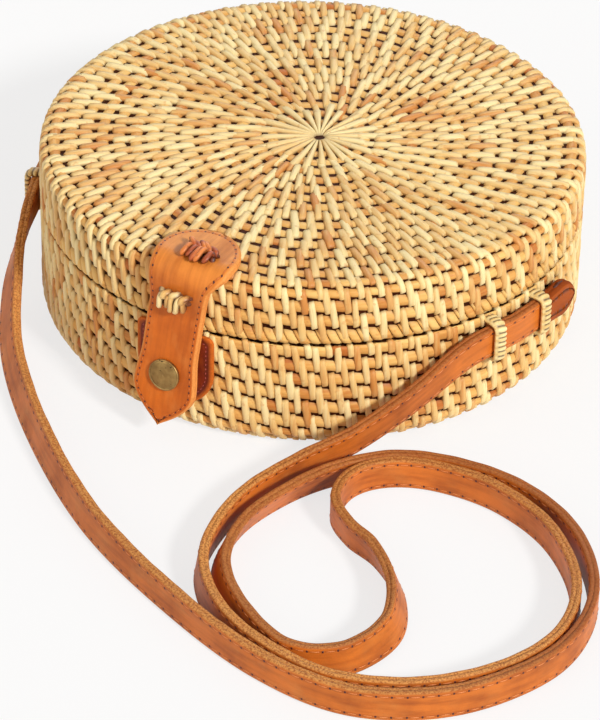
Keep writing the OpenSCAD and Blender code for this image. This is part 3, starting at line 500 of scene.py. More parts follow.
def weave(body, wall, rows, turn, nodes, basket, finishes, seed):
    """Strips on a wall. A stitch spans two coils and leans, and in each row the stitch that
    comes from the outer coil and the one that goes on to the inner coil lie side by side,
    with the bare coil between such pairs. turn is 1 where angles grow with the shift, and -1
    where they fall. The rim's coil is a piece of its own: the lid's is bound with slanting
    strips, and the base's shows short stitches over a sunk coil."""
    rng = np.random.default_rng(seed)
    inner = wall.reach(basket.star_radius)
    pitch = inner / rows
    lean = turn * math.tan(basket.stitch_lean)
    made = families(wall, pitch, turn, basket, rng)
    on_lid, loose = body == "lid", STITCH_SCATTER

    at, angle, width = columns(
        (np.full(len(a), s), a, np.full(len(a), w)) for s, a, w in (made[1:] if on_lid else made))
    count = len(at)
    short, near_star = at < 0.5 * pitch, at > inner - 0.5 * pitch
    reach = np.select([short, wall.radius(at) < SIDE_R], [REACH_RIM, REACH_TOP], REACH_SIDE)
    # The rim's short stitches lie further along, and 6 in 100 of all are much browner
    place = at + np.where(short, 0.27, 0) * pitch + rng.normal(0, loose["place"], count)
    tone = rng.normal(*STITCH_TONE, count) - 0.4 * (rng.random(count) < 0.06)
    stitches = wall.strips(
        body + "_stitches", STITCH, place, angle, np.clip(tone, 0, 1), finishes["stitch"],
        "rattan_pale", body, rng,
        half_l=reach * pitch * (1 + rng.normal(0, loose["length"], count)),
        half_w=width / 2 * (1 + rng.normal(0, loose["width"], count)), low=STITCH_LOW,
        top=rng.normal(0, loose["top"], count) - 0.5 * MM * near_star,
        lean=lean + rng.normal(0, loose["lean"], count), tilt=-turn * 0.25)

    lines = [(s, a) for s, a, w in made]
    while lines[-1][0] < inner + 9 * MM:
        lines.append((lines[-1][0] + pitch, lines[-1][1]))
    if on_lid:
        s, a = lines[0]
        lines[0] = (s, np.sort(np.concatenate([a, a + np.pi / len(a)])))
    at, angle, step = columns(
        (np.full(len(a), s + pitch / 2), a,
         (np.roll(a, -turn) - a) * turn % (2 * np.pi) * wall.radius(s + pitch / 2))
        for s, a in lines)
    pieces, loose = [stitches], COIL_SCATTER
    for kind, bead, rim in (("_coils", COIL, False), ("_rim_coil", RIM_COIL, True)):
        chosen = at < pitch if rim else at > pitch
        line, start, apart = at[chosen], angle[chosen], step[chosen]
        count, radius = len(line), wall.radius(line)
        on_top = radius < 0.93 * BAG_R
        sink = np.select([rim & (line > 0), line > inner, on_top],
                         [SINK_RIM[body], SINK_STAR, SINK_TOP], SINK_SIDE)
        # The rim's segments are longer, lie further back and are paler, and the lid's lean more
        place = line + rng.normal(0, loose["place"], count) - (0.12 if rim else 0) * pitch
        tone = rng.normal(*COIL_TONE, count) + (0.3 if on_lid else 0.1) * rim + 0.15 * on_top
        pieces.append(wall.strips(
            body + kind, bead, place,
            start + turn * (abs(lean) * pitch / 2 + apart * 0.5) / radius,
            np.clip(tone, 0, 1), finishes["coil"], "rattan", body, rng, grain=(1, 0),
            half_l=(0.62 if rim else 0.5) * pitch, half_w=apart * 0.51, low=COIL_LOW,
            top=rng.normal(0, loose["top"], count) - sink, tilt=turn * 0.12,
            lean=(3.5 if rim and on_lid else 1.0) * lean + rng.normal(0, loose["lean"], count)))
    pieces.append(core(body, wall, pitch, 7 * (rows + 4), finishes["core"]))
    for piece in pieces:
        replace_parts(piece, *nodes)
    return inner


def core(body, wall, pitch, count, finish):
    """The body behind the strips, dark as painted shade between them, turned once about Z:
    1.4 mm under the wall's outline, and up to 0.3 mm deeper, by (2 t - 1)² across each coil.
    Inside, it is the wall's inner side."""
    s = np.linspace(wall.s[0], wall.s[-1] - 0.8 * MM, count)
    groove = (2 * (s / pitch % 1) - 1) ** 2
    outer = wall.at(s, -(1.4 + 0.3 * groove) * MM)
    outer[:, 0] = np.maximum(outer[:, 0], 0.2 * MM)
    outline = np.concatenate([outer, inside_of(body)[::-1]])
    a = around(192)
    co = turned(outline[:, 0], outline[:, 1], a)
    lie = np.stack(np.broadcast_arrays(a * BAG_R, distance_along(outline)), -1)
    return mesh_piece(body + "_core", co, [grid(*co.shape[:2], ring=True)], finish, "rattan",
                      body, lie)


def inside_of(body):
    """The inner side of a wall, from its rim to the middle, where the lining is glued."""
    r, corner, rim = BAG_R - WALL - 0.05 * MM, FOOT_ROUND - WALL, 1.6 * MM
    if body == "base":
        return np.concatenate([
            [[r, BASE_TOP - rim]], arc((r - corner, WALL + corner), corner, 0, -90, 8),
            [[0.2 * MM, WALL]]])
    return np.array([
        [r, LID_LOW + rim], [r, LID_EDGE - WALL], [CROWN_R, CROWN - WALL],
        [0.2 * MM, CROWN - WALL]])


def star(body, wall, inner, nodes, basket, finish, seed):
    """Long stitches that fan out from the middle: strips along the outline from the star's
    radius to the middle, each tapering to 28 % of its width, at even angles with a little
    scatter."""
    rng = np.random.default_rng(seed)
    count = basket.star_count
    outer = inner + rng.uniform(-4.5, 2, count) * MM
    end = wall.reach(1.6 * MM)
    angle = (np.arange(count) + rng.normal(0, 0.12, count)) * 2 * np.pi / count
    tone = np.clip(rng.normal(*STAR_TONE, count), 0, 1)
    piece = wall.strips(
        body + "_star_stitches", STITCH, (end + outer) / 2, angle, tone, finish,
        "rattan_pale", body, rng, half_l=(end - outer) / 2,
        half_w=1.6 * MM * (1 + rng.normal(0, 0.08, count)), low=STAR_LOW,
        top=rng.normal(0.07, 0.04, count) * MM, taper=0.72)
    if nodes:
        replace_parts(piece, *nodes)


# Leather


# The gap from a wall to the leather on it, and how far in the lid's top goes to rise by 1
CLEAR, TOP_RUN = 0.15 * MM, 76


class Closure:
    """Where points of the closure's flat pattern lie. across and up are measured on the
    pattern from the place where the lid's edge starts to round over; out is the height off
    the bag's side."""

    def __init__(self, leather):
        self.lean, self.kick = leather.lean, leather.kick
        self.under = CLEAR
        self.middle = self.under + leather.thickness / 2
        self.high = self.under + leather.thickness
        self.start_z = LID_EDGE - LID_ROUND
        self.bend_up = -(self.start_z - BEND["pos_m"][2]) / math.cos(self.lean)

    def on_lid(self, across, up, out):
        """Turned by the lean, then laid on the lid: up its side, round its edge, in on its
        gently rising top. y = -sqrt(radius² - x²), with the head's outline kept straight
        from above."""
        x = across * math.cos(self.lean) + up * math.sin(self.lean)
        s = up * math.cos(self.lean) - across * math.sin(self.lean)
        s = s - smooth(s, 2 * MM, 12 * MM) * x**2 / (2 * BAG_R)
        turn = np.clip(s / LID_ROUND, 0, np.pi / 2)
        level = np.maximum(s - LID_ROUND * np.pi / 2, 0)
        radius = BAG_R - LID_ROUND - level + (LID_ROUND + out) * np.cos(turn)
        z = self.start_z + np.minimum(s, 0) + (LID_ROUND + out) * np.sin(turn)
        z = z + level / TOP_RUN
        y = -np.sqrt(np.maximum(radius**2 - x**2, 1e-9))
        return np.stack([x, y, z], -1)

    def on_flap(self, across, up, out):
        """Flat below the bend: turned by the lean, then by the kick about the bend."""
        down, off = up - self.bend_up, self.middle - out
        x = across * math.cos(self.lean) + down * math.sin(self.lean)
        z = down * math.cos(self.lean) - across * math.sin(self.lean)
        y = off * math.cos(self.kick) + z * math.sin(self.kick)
        z = z * math.cos(self.kick) - off * math.sin(self.kick)
        return np.stack([x, y, z], -1) + np.array(BEND["pos_m"])

    def place(self, across, up, out):
        """The lid's surface above the bend and the flap's below it, with 5 mm to change over."""
        across, up, out = np.broadcast_arrays(across, up, out)
        share = smooth(up, self.bend_up - 3 * MM, self.bend_up + 2 * MM)[..., None]
        return share * self.on_lid(across, up, out) + (1 - share) * self.on_flap(across, up, out)


# Half a closure's width at listed distances from the foot of the lid's rounded edge, in mm
WAIST = [(-12, 10.8), (-9.9, 10.8), (-4.95, 11.2), (0, 12), (4.636, 14.83)]
# The head's radius, its middle above that foot, and how far it lies to one side
HEAD_R, HEAD_UP, HEAD_SIDE = 15.5 * MM, 9.354 * MM, 2 * MM
# The tip and the belly below the bend, and half the width there and at the bend
TIP_DOWN, BELLY_DOWN, BELLY, NECK = 46 * MM, 31 * MM, 12.2 * MM, 10.8 * MM
# The snap's middle below the bend, and its cap's radius and height
SNAP_DOWN, CAP_R, CAP_H = 25 * MM, 6 * MM, 1.7 * MM
# The knots' middles on the pattern, (across, up), and half their length
UPPER_KNOT, LOWER_KNOT, KNOT_REACH = (3.5 * MM, 9.85 * MM), (0.0, -5.5 * MM), 5.3 * MM


def closure_edges(up, bend_up):
    """The left and right edge at each distance up: a head with half its width at
    sqrt(radius² - height²), a little to one side, a waist through listed points, a belly
    that swells smoothly, and a tip that narrows by t to the power 1.8."""
    waist = np.array(WAIST) * MM
    down = bend_up - up
    head = np.sqrt(np.maximum(HEAD_R**2 - (up - HEAD_UP) ** 2, 0))
    middle = np.interp(up, waist[:, 0], waist[:, 1])
    belly = NECK + (BELLY - NECK) * smooth(down, BELLY_DOWN / 2, BELLY_DOWN)
    tip = BELLY * (1 - np.clip((down - BELLY_DOWN) / (TIP_DOWN - BELLY_DOWN), 0, 1) ** 1.8)
    below = np.where(down > BELLY_DOWN, tip, belly)
    half = np.where(up > waist[-1, 0], head, np.where(down > 0, below, middle))
    aside = HEAD_SIDE * np.clip(up / waist[-1, 0], 0, 1)
    return aside - half, aside + half


# One edge of two layers of leather, from the middle of the underside round to the middle of
# the face: share of the flat half width, edge radii outwards, share of the thickness
LEATHER_EDGE = np.array([
    (0, 0, 0), (.5, 0, 0), (1, 0, 0), (1, .65, .07), (1, 1, .24), (1, .95, .42), (1, .72, .5),
    (1, .95, .58), (1, 1, .76), (1, .65, .93), (1, 0, 1), (1, -.75, 1), (1, -1.45, 1),
    (.72, 0, 1), (.36, 0, 1), (0, 0, 1)])


def leather_sheet(name, up, edges, low, high, edge, place, material, body, tone=1.0):
    """Leather cut to an outline: at each distance up, a section between its left and right
    edge, rounded and with a line between its two layers, put in place by a function of
    (across, up, out). Keeps how far each corner is from the outline, and a tone for each
    section."""
    right, left = LEATHER_EDGE, LEATHER_EDGE[-2:0:-1] * [-1, -1, 1]
    section = np.concatenate([right, left])
    left_at, right_at = edges
    w = np.maximum((right_at - left_at) / 2, 0.12 * MM)[:, None]
    # Where the sheet is narrow, the radius of its edges shrinks with it
    edge = edge * np.minimum(1, w / (2.6 * edge))
    middle = ((left_at + right_at) / 2)[:, None]
    across = (w - edge) * section[:, 0] + edge * section[:, 1] + middle
    out = low + (high - low) * section[:, 2]
    along = np.broadcast_to(up[:, None], across.shape)
    outline = np.concatenate([np.stack([right_at, up], 1), np.stack([left_at, up], 1)])
    flat = np.stack([across, along], -1)
    rim = np.stack([np.linalg.norm(outline - row[:, None], axis=-1).min(1) for row in flat])
    # Below the face, all of it is cut edge
    rim = np.where(section[:, 2] < 0.94, 0, rim)
    tone = np.broadcast_to(np.reshape(tone, (-1, 1)), rim.shape)
    return mesh_piece(name, place(across, along, out), closed_grid(*rim.shape), material, "leather",
                      body, flat, rim=rim, tone=tone)


def seam_line(up, edges, inset, step):
    """Even steps along an outline drawn in by an inset: places (across, up) and directions.
    Where the outline bends more tightly than the inset, its points are left out."""
    line = np.concatenate([np.stack([edges[1], up], 1), np.stack([edges[0], up], 1)[::-1]])
    line = line[np.concatenate([[True], np.linalg.norm(np.diff(line, axis=0), axis=1) > 1e-6])]
    along = distance_along(line)
    line = resampled(np.arange(0, along[-1], 0.3 * MM), along, line)
    slope = unit(np.roll(line, -4, 0) - np.roll(line, 4, 0))
    drawn = line + inset * np.stack([-slope[:, 1], slope[:, 0]], 1)
    inside = np.linalg.norm(line[:, None] - drawn[None], axis=-1).min(0) > inset * 0.97
    drawn = drawn[inside]
    drawn = np.concatenate([drawn, drawn[:1]])
    total = distance_along(drawn)
    count = int(total[-1] / step)
    at = (np.arange(count) + 0.5) * total[-1] / count
    spots = resampled(at, total, drawn)
    return spots, unit(resampled(at + 0.4 * MM, total, drawn) - spots)


def seam(name, spots, slopes, step, out, place, material, body, hole=0.55 * MM):
    """Sewing: at each step a thread along the seam's direction, with tone 1, and at the
    thread's end a flat needle hole, with tone 0, whose half width is hole. The hole's dark
    colour is painted shade."""
    count = len(spots)
    length = np.tile([step / 2 - 0.9 * hole, 1.1 * hole], count)
    width = np.tile([0.22 * MM, hole], count)
    top = np.tile([0.18 * MM, 0.08 * MM], count) + out
    run, side, lift, deep = THREAD.strips(length, width, out - 0.4 * MM, top)
    ends = np.stack([spots, spots + slopes * step / 2], 1).reshape(-1, 2)
    dx, dy = (np.repeat(slopes[:, k], 2).reshape(-1, 1, 1) for k in (0, 1))
    across = ends[:, 0].reshape(-1, 1, 1) + run * dx - side * dy
    up = ends[:, 1].reshape(-1, 1, 1) + run * dy + side * dx
    tone = THREAD.repeated(np.tile([1, 0], count))
    return mesh_piece(name, place(across, up, lift), THREAD.faces(2 * count), material, "leather",
                      body, np.stack([side, run], -1), tone=tone, deep=deep)


# Finishes


def join(tree, socket, value):
    """Links an output to a socket, or sets a plain value on it."""
    if isinstance(value, bpy.types.NodeSocket):
        tree.links.new(value, socket)
    else:
        socket.default_value = value


def put(tree, kind, *values, out=0, at=None, **settings):
    """Adds a node, sets it, fills its sockets in order and returns one of its outputs."""
    node = tree.nodes.new("ShaderNode" + kind)
    for key, value in settings.items():
        setattr(node, key, value)
    for place, value in zip(at or range(len(values)), values):
        join(tree, node.inputs[place], value)
    return node.outputs[out]


def math_of(tree, operation, *values, **settings):
    return put(tree, "Math", *values, operation=operation, **settings)


def plus(tree, one, other):
    return math_of(tree, "ADD", one, other)


def times(tree, one, other, **settings):
    return math_of(tree, "MULTIPLY", one, other, **settings)


def mixed(tree, share, one, other):
    """One colour at share 0, the other at share 1."""
    return put(tree, "Mix", share, one, other, data_type="RGBA", at=[0, 6, 7], out=2)


def spread(tree, value, low, high, to_low=0.0, to_high=1.0, kind="LINEAR"):
    """A value from low to high, spread from to_low to to_high."""
    return put(tree, "MapRange", value, low, high, to_low, to_high, interpolation_type=kind)


def noise(tree, place, scale, detail=3.0, rough=0.55):
    """Soft noise, with about scale grains a metre."""
    return put(tree, "TexNoise", place, scale, detail, rough,
               at=["Vector", "Scale", "Detail", "Roughness"])


def lying(tree):
    """The piece's flat map, in metres."""
    return put(tree, "UVMap", uv_map="lie")


def own_place(tree):
    """The place in the object's own coordinates."""
    return put(tree, "TexCoord", out=3)


def stretched(tree, place, x, y, z=1.0):
    """A place with each of its directions drawn out by its own number."""
    return put(tree, "VectorMath", place, (x, y, z), operation="MULTIPLY")


def kept(tree, name):
    """A number kept on a piece's corners."""
    return put(tree, "Attribute", attribute_name=name, out=2)


def new_group(name, inputs, outputs):
    """An empty shader group with named sockets: the tree, its inputs and its outputs."""
    tree = bpy.data.node_groups.new(name, "ShaderNodeTree")
    kinds = {3: "NodeSocketVector", 4: "NodeSocketColor"}
    for label, default in inputs.items():
        kind = kinds.get(len(default)) if hasattr(default, "__len__") else "NodeSocketFloat"
        socket = tree.interface.new_socket(label, in_out="INPUT", socket_type=kind)
        socket.default_value = default
    for label, kind in outputs.items():
        tree.interface.new_socket(label, in_out="OUTPUT", socket_type="NodeSocket" + kind)
    return tree, tree.nodes.new("NodeGroupInput").outputs, tree.nodes.new("NodeGroupOutput").inputs


def split_cane_group():
    """Skin of split cane: its tone, long fibres and specks, and painted shade the deeper it lies.
    """
    tree, given, made = new_group(
        "split_cane",
        {"Tone": 0.5, "Deep": 0.0, "Lie": (0.0, 0.0, 0.0), "Pale": (1, 1, 1, 1),
         "Middle": (1, 1, 1, 1), "Brown": (1, 1, 1, 1), "Crevice": (0, 0, 0, 1)},
        {"Color": "Color", "Roughness": "Float", "Height": "Float"})
    place = own_place(tree)
    patch = noise(tree, place, 38.0, 2.0)
    fibre = noise(tree, stretched(tree, given["Lie"], 2600.0, 130.0), 1.0, 3.0)
    vein = noise(tree, stretched(tree, given["Lie"], 900.0, 60.0), 1.0, 2.0)
    speck = spread(tree, noise(tree, place, 420.0, 1.0), 0.66, 0.72)
    tone = plus(tree, given["Tone"], spread(tree, patch, 0.3, 0.7, -0.22, 0.18))
    tone = plus(tree, tone, spread(tree, vein, 0.3, 0.7, -0.16, 0.16))
    colour = mixed(tree, spread(tree, tone, 0.0, 0.45), given["Brown"], given["Middle"])
    colour = mixed(tree, spread(tree, tone, 0.45, 0.95), colour, given["Pale"])
    colour = mixed(tree, times(tree, speck, 0.35), colour, given["Brown"])
    colour = mixed(tree, spread(tree, fibre, 0.42, 0.30, 0.0, 0.35), colour, given["Brown"])
    # Painted shade: the crevice colour laid on where a strip dives down between the others
    painted_shade = math_of(tree, "POWER", given["Deep"], 1.6)
    colour = mixed(tree, times(tree, painted_shade, 0.92), colour, given["Crevice"])
    join(tree, made["Color"], colour)
    join(tree, made["Roughness"], spread(tree, fibre, 0.3, 0.7, 0.42, 0.62))
    join(tree, made["Height"], plus(tree, fibre, times(tree, vein, 0.8)))
    return tree


def leather_group():
    """Tanned leather: pores and creases, cloudy colour, pale cut edges and a pressed seam."""
    tree, given, made = new_group(
        "tanned_leather",
        {"Rim": 1.0, "Seam": 0.002, "Lie": (0.0, 0.0, 0.0), "Face": (1, 1, 1, 1),
         "Deep": (1, 1, 1, 1), "Edge": (1, 1, 1, 1), "Fibres": 0.3},
        {"Color": "Color", "Roughness": "Float", "Height": "Float"})
    place = own_place(tree)
    cloud = noise(tree, place, 55.0, 4.0)
    streak = noise(tree, stretched(tree, given["Lie"], 420.0, 45.0), 1.0, 3.0)
    pores = put(tree, "TexVoronoi", place, 1500.0, at=["Vector", "Scale"])
    creases = noise(tree, place, 520.0, 3.0)
    streaks = spread(tree, streak, 0.42, 0.7, 0.0, 0.6)
    handled = times(tree, plus(tree, spread(tree, cloud, 0.4, 0.75), streaks), 0.6, use_clamp=True)
    colour = mixed(tree, handled, given["Face"], given["Deep"])
    scuff = noise(tree, stretched(tree, given["Lie"], 150.0, 90.0), 1.0, 4.0)
    colour = mixed(tree, spread(tree, scuff, 0.5, 0.8, 0.0, 0.35), colour, given["Edge"])
    colour = mixed(tree, spread(tree, pores, 0.25, 0.0, 0.0, 0.22), colour, given["Deep"])
    off = math_of(tree, "ABSOLUTE", math_of(tree, "SUBTRACT", given["Rim"], given["Seam"]))
    pressed = spread(tree, off, 0.0, 0.7 * MM, 1.0, 0.0, kind="SMOOTHSTEP")
    colour = mixed(tree, times(tree, pressed, 0.5), colour, given["Deep"])
    fibres = noise(tree, place, 1300.0, 3.0, 0.7)
    strands = times(tree, spread(tree, fibres, 0.56, 0.4), given["Fibres"])
    cut = mixed(tree, strands, given["Edge"], given["Deep"])
    worn = times(tree, spread(tree, given["Rim"], 0.3 * MM, 0.9 * MM, 1.0, 0.0),
                 spread(tree, creases, 0.3, 0.7, 0.75, 1.0))
    colour = mixed(tree, worn, colour, cut)
    join(tree, made["Color"], colour)
    polish = spread(tree, cloud, 0.3, 0.7, 0.42, 0.55)
    join(tree, made["Roughness"], plus(tree, polish, times(tree, worn, 0.25)))
    rough_cut = times(tree, times(tree, fibres, worn), given["Fibres"])
    height = plus(tree, times(tree, pores, 0.35), creases)
    height = plus(tree, height, times(tree, rough_cut, 2.5))
    join(tree, made["Height"], math_of(tree, "SUBTRACT", height, times(tree, pressed, 0.5)))
    return tree


def group_named(name, maker):
    """The shared group of that name, made the first time that it is asked for."""
    return bpy.data.node_groups.get(name) or maker()


def new_material(name):
    material = bpy.data.materials.new(name)
    material.use_nodes = True
    return material, material.node_tree


def dress(tree, colour, roughness, strength, depth, height, **plain):
    """Gives a material's shader its colour, its roughness and a bump from a height. What is
    the same all over is set on the shader itself."""
    shader = tree.nodes["Principled BSDF"].inputs
    bump = put(tree, "Bump", strength, depth, height, at=["Strength", "Distance", "Height"])
    for key, value in {"Base Color": colour, "Roughness": roughness, "Normal": bump}.items():
        join(tree, shader[key], value)
    for key, value in plain.items():
        shader[key.replace("_", " ")].default_value = value


def material_of(name, group, values, depth, **plain):
    """A material: a shared group with this material's own values feeds colour, roughness
    and bump."""
    material, tree = new_material(name)
    node = tree.nodes.new("ShaderNodeGroup")
    node.node_tree = group
    for key, value in values.items():
        join(tree, node.inputs[key], value(tree) if callable(value) else value)
    made = node.outputs
    dress(tree, made["Color"], made["Roughness"], 0.6, depth, made["Height"], **plain)
    return material


def cane(name, pale, middle, brown, crevice_shade, tone=None, **plain):
    """Split cane with its own colours. Where a piece keeps no tones, one tone stands for all
    and the fibres follow the object's own place."""
    colours = {"Pale": pale, "Middle": middle, "Brown": brown, "Crevice": crevice_shade}
    values = {key: shade(colour) for key, colour in colours.items()}
    if tone is None:
        values["Tone"] = lambda tree: kept(tree, "tone")
        values["Deep"] = lambda tree: kept(tree, "deep")
        values["Lie"] = lying
    else:
        values["Tone"] = tone
        values["Lie"] = own_place
    group = group_named("split_cane", split_cane_group)
    return material_of(name, group, values, 0.12 * MM, **plain)


def by_tone(one, other):
    """A colour that goes from one to the other with a piece's tone."""
    return lambda tree: mixed(tree, kept(tree, "tone"), shade(one), shade(other))


def leather(name, face, deep, edge, seam_in, band=1.0, fibres=0.2, **plain):
    """Leather with its own colours, of which face and edge may also go by tone. The pale cut
    edge is 0.9 mm wide times its band, and fibres is the share of dark strands in it."""
    values = {
        "Face": face if callable(face) else shade(face), "Deep": shade(deep),
        "Edge": edge if callable(edge) else shade(edge), "Seam": seam_in / band,
        "Fibres": fibres, "Lie": lying,
        "Rim": lambda tree: math_of(tree, "DIVIDE", kept(tree, "rim"), band)}
    group = group_named("tanned_leather", leather_group)
    return material_of(name, group, values, 0.1 * MM, **plain)


def thread_finish(name, light, dark, hole):
    """Waxed thread, with a dark hole where its tone is 0: painted shade of a needle hole."""
    material, tree = new_material(name)
    twist = put(tree, "TexWave", lying(tree), 900.0, at=["Vector", "Scale"], out=1,
                bands_direction="DIAGONAL")
    colour = mixed(tree, times(tree, twist, 0.6), shade(light), shade(dark))
    colour = mixed(tree, kept(tree, "tone"), shade(hole), colour)
    dress(tree, colour, spread(tree, twist, 0.0, 1.0, 0.45, 0.65), 0.5, 0.05 * MM, twist)
    return material


def brass_finish():
    """Old brass: a greenish brown patina, brighter where it is rubbed, with fine scratches."""
    material, tree = new_material("old_brass")
    place = own_place(tree)
    patina = spread(tree, noise(tree, place, 260.0, 5.0), 0.38, 0.66)
    scratch = noise(tree, stretched(tree, place, 2400.0, 300.0, 900.0), 1.0, 2.0)
    colour = mixed(tree, patina, shade(linear(172, 142, 86)), shade(linear(132, 104, 60)))
    spot = spread(tree, noise(tree, place, 700.0, 1.0), 0.7, 0.74)
    colour = mixed(tree, spot, colour, shade(linear(62, 50, 30)))
    dress(tree, colour, spread(tree, scratch, 0.3, 0.7, 0.34, 0.52), 0.35, 0.04 * MM, scratch,
          Metallic=0.85)
    return material


def cloth_finish():
    """Plain-woven lining cloth: two sets of yarns over and under, slightly uneven."""
    material, tree = new_material("lining_cloth")
    lie = lying(tree)
    warp, weft = (
        put(tree, "TexWave", lie, 260.0, 0.6, 2.0, at=["Vector", "Scale", "Distortion", "Detail"],
            out=1, bands_direction=way) for way in "XY")
    yarns = times(tree, warp, weft)
    slub = noise(tree, stretched(tree, lie, 60.0, 900.0), 1.0, 2.0)
    colour = mixed(tree, yarns, shade(linear(150, 118, 82)), shade(linear(206, 180, 142)))
    worn = spread(tree, slub, 0.35, 0.7, 0.0, 0.3)
    colour = mixed(tree, worn, colour, shade(linear(170, 136, 96)))
    dress(tree, colour, spread(tree, slub, 0.3, 0.7, 0.8, 0.95), 0.6, 0.15 * MM, yarns,
          Sheen_Weight=0.25)
    return material


def basket_finishes(basket):
    """The finishes of the walls: pale stitches, orange coils and the core behind them, dark as
    painted shade.
    """
    return {
        "stitch": cane("cane_stitches", basket.cane_pale, basket.cane_gold, basket.cane_brown,
                       basket.crevice_shade, Specular_IOR_Level=0.4),
        "coil": cane("cane_coils", basket.coil_pale, basket.coil_mid, basket.coil_brown,
                     basket.crevice_shade, Specular_IOR_Level=0.3),
        # The core's dark colours are painted shade, seen in the gaps between the strips
        "core": cane("cane_core", linear(84, 40, 16), linear(58, 24, 8), linear(40, 15, 5),
                     linear(24, 8, 2), tone=0.4, Specular_IOR_Level=0.05)}


def refinish(node, material):
    """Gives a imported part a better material, in all of its slots."""
    for slot in frame["nodes"][node].material_slots:
        slot.material = material


def seen_directly(tree):
    """1 for what the camera sees, straight, as a gloss or through glass, and 0 for light."""
    rays = tree.nodes.new("ShaderNodeLightPath").outputs
    mirrored = math_of(tree, "MAXIMUM", rays["Is Glossy Ray"], rays["Is Transmission Ray"])
    return math_of(tree, "MAXIMUM", rays["Is Camera Ray"], mirrored)


# Operators, one for each group of pieces


# The lamps: the way to each from the bag, the angle that it seems wide and its colour
LAMPS = {
    "key": ((0.58, -0.74, 0.64), math.radians(9), (1, 1, 1)),
    "fill": ((-0.9, -0.55, 0.6), math.radians(45), (1, 0.74, 0.54)),
    "sheen": ((0.1, 0.8, 0.62), math.radians(34), (1, 1, 1))}
# The point that the camera aims at, before it is turned, and its shift of one pixel
AIM, SHIFT = Vector((-2.754, 0, -32.301)) * MM, 1 / 720


class BAG_OT_stage(bpy.types.Operator):
    """Sets the camera, the lamps, the white surroundings and the ground"""

    bl_idname = "bag.stage"
    bl_label = "Stage"

    def execute(self, context):
        s = context.scene.bag_stage
        turn = Matrix.Rotation(s.turn, 3, "Z")
        back = Vector((0, -math.cos(s.height), math.sin(s.height)))
        right = Vector((1, 0, 0))
        up = right.cross(-back)
        level_right = right * math.cos(s.roll) + up * math.sin(s.roll)
        level_up = up * math.cos(s.roll) - right * math.sin(s.roll)
        axes = [turn @ v for v in (level_right, level_up, back)]
        data = bpy.data.cameras.new("camera")
        data.lens, data.sensor_width, data.sensor_fit = s.lens, 36, "AUTO"
        data.shift_x, data.shift_y = -SHIFT, SHIFT
        data.clip_start, data.clip_end = 0.05, 50
        camera = bpy.data.objects.new("camera", data)
        camera.matrix_world = Matrix.Translation(turn @ (AIM + back * s.distance)) @ Matrix(
            [[a[k] for a in axes] for k in range(3)]).to_4x4()
        context.scene.collection.objects.link(camera)
        context.scene.camera = camera

        for name, (towards, wide, colour) in LAMPS.items():
            lamp = bpy.data.lights.new(name, "SUN")
            lamp.energy, lamp.angle, lamp.color = getattr(s, name), wide, colour
            holder = bpy.data.objects.new(name, lamp)
            holder.rotation_euler = (turn @ Vector(towards)).to_track_quat("Z", "Y").to_euler()
            holder.visible_diffuse = name != "sheen"
            context.scene.collection.objects.link(holder)

        world = bpy.data.worlds.new("surroundings")
        context.scene.world = world
        world.use_nodes = True
        tree = world.node_tree
        sky = tree.nodes["Background"].inputs
        join(tree, sky["Strength"], spread(tree, seen_directly(tree), 0, 1, s.sky, 1.0))
        join(tree, sky["Color"], (1, 1, 1, 1))
        self.ground(context, reach=3, glow_share=0.74)
        context.scene.view_settings.view_transform = "Standard"
        return {"FINISHED"}

    def ground(self, context, reach, glow_share):
        """A square on the ground that reaches that far to each side. To the camera it also
        glows a little, so that it looks nearly white and keeps the bag's shadow."""
        mesh = bpy.data.meshes.new("ground")
        mesh.from_pydata([(-reach, -reach, 0), (reach, -reach, 0), (reach, reach, 0),
                          (-reach, reach, 0)], [], [(0, 1, 2, 3)])
        ground = bpy.data.objects.new("ground", mesh)
        context.scene.collection.objects.link(ground)
        material, tree = new_material("white_ground")
        shader = tree.nodes["Principled BSDF"]
        shader.inputs["Base Color"].default_value = (0.86, 0.85, 0.84, 1)
        shader.inputs["Roughness"].default_value = 0.9
        glow = put(tree, "Emission", (1, 1, 1, 1), 1.0)
        both = put(tree, "MixShader", times(tree, seen_directly(tree), glow_share),
                   shader.outputs[0], glow)
        tree.links.new(both, tree.nodes["Material Output"].inputs["Surface"])
        mesh.materials.append(material)
        return ground


def strap_lines(strap, count):
    """The strap's middle line and, at each point, the directions across its thickness and up
    its width: level = forwards × up, banked by the strap's own angle. Also the way ahead."""
    route = np.array(STRAP_ROUTE, float)
    route[:, 2] = strap.floor_z + (strap.top_z - strap.floor_z) * route[:, 2]
    last = len(route) - 1
    at = np.linspace(0, last, count)
    line = spline(route, at)
    ahead = spline(route, np.minimum(at + 0.05, last)) - spline(route, np.maximum(at - 0.05, 0))
    ahead = unit(ahead)
    bank = np.radians(spline(np.array(STRAP_BANK, float), at))[:, None]
    level = unit(np.cross(ahead, [0, 0, 1.0]))
    steep = np.cross(level, ahead)
    side = level * np.cos(bank) + steep * np.sin(bank)
    up = steep * np.cos(bank) - level * np.sin(bank)
    return line, side, up, ahead


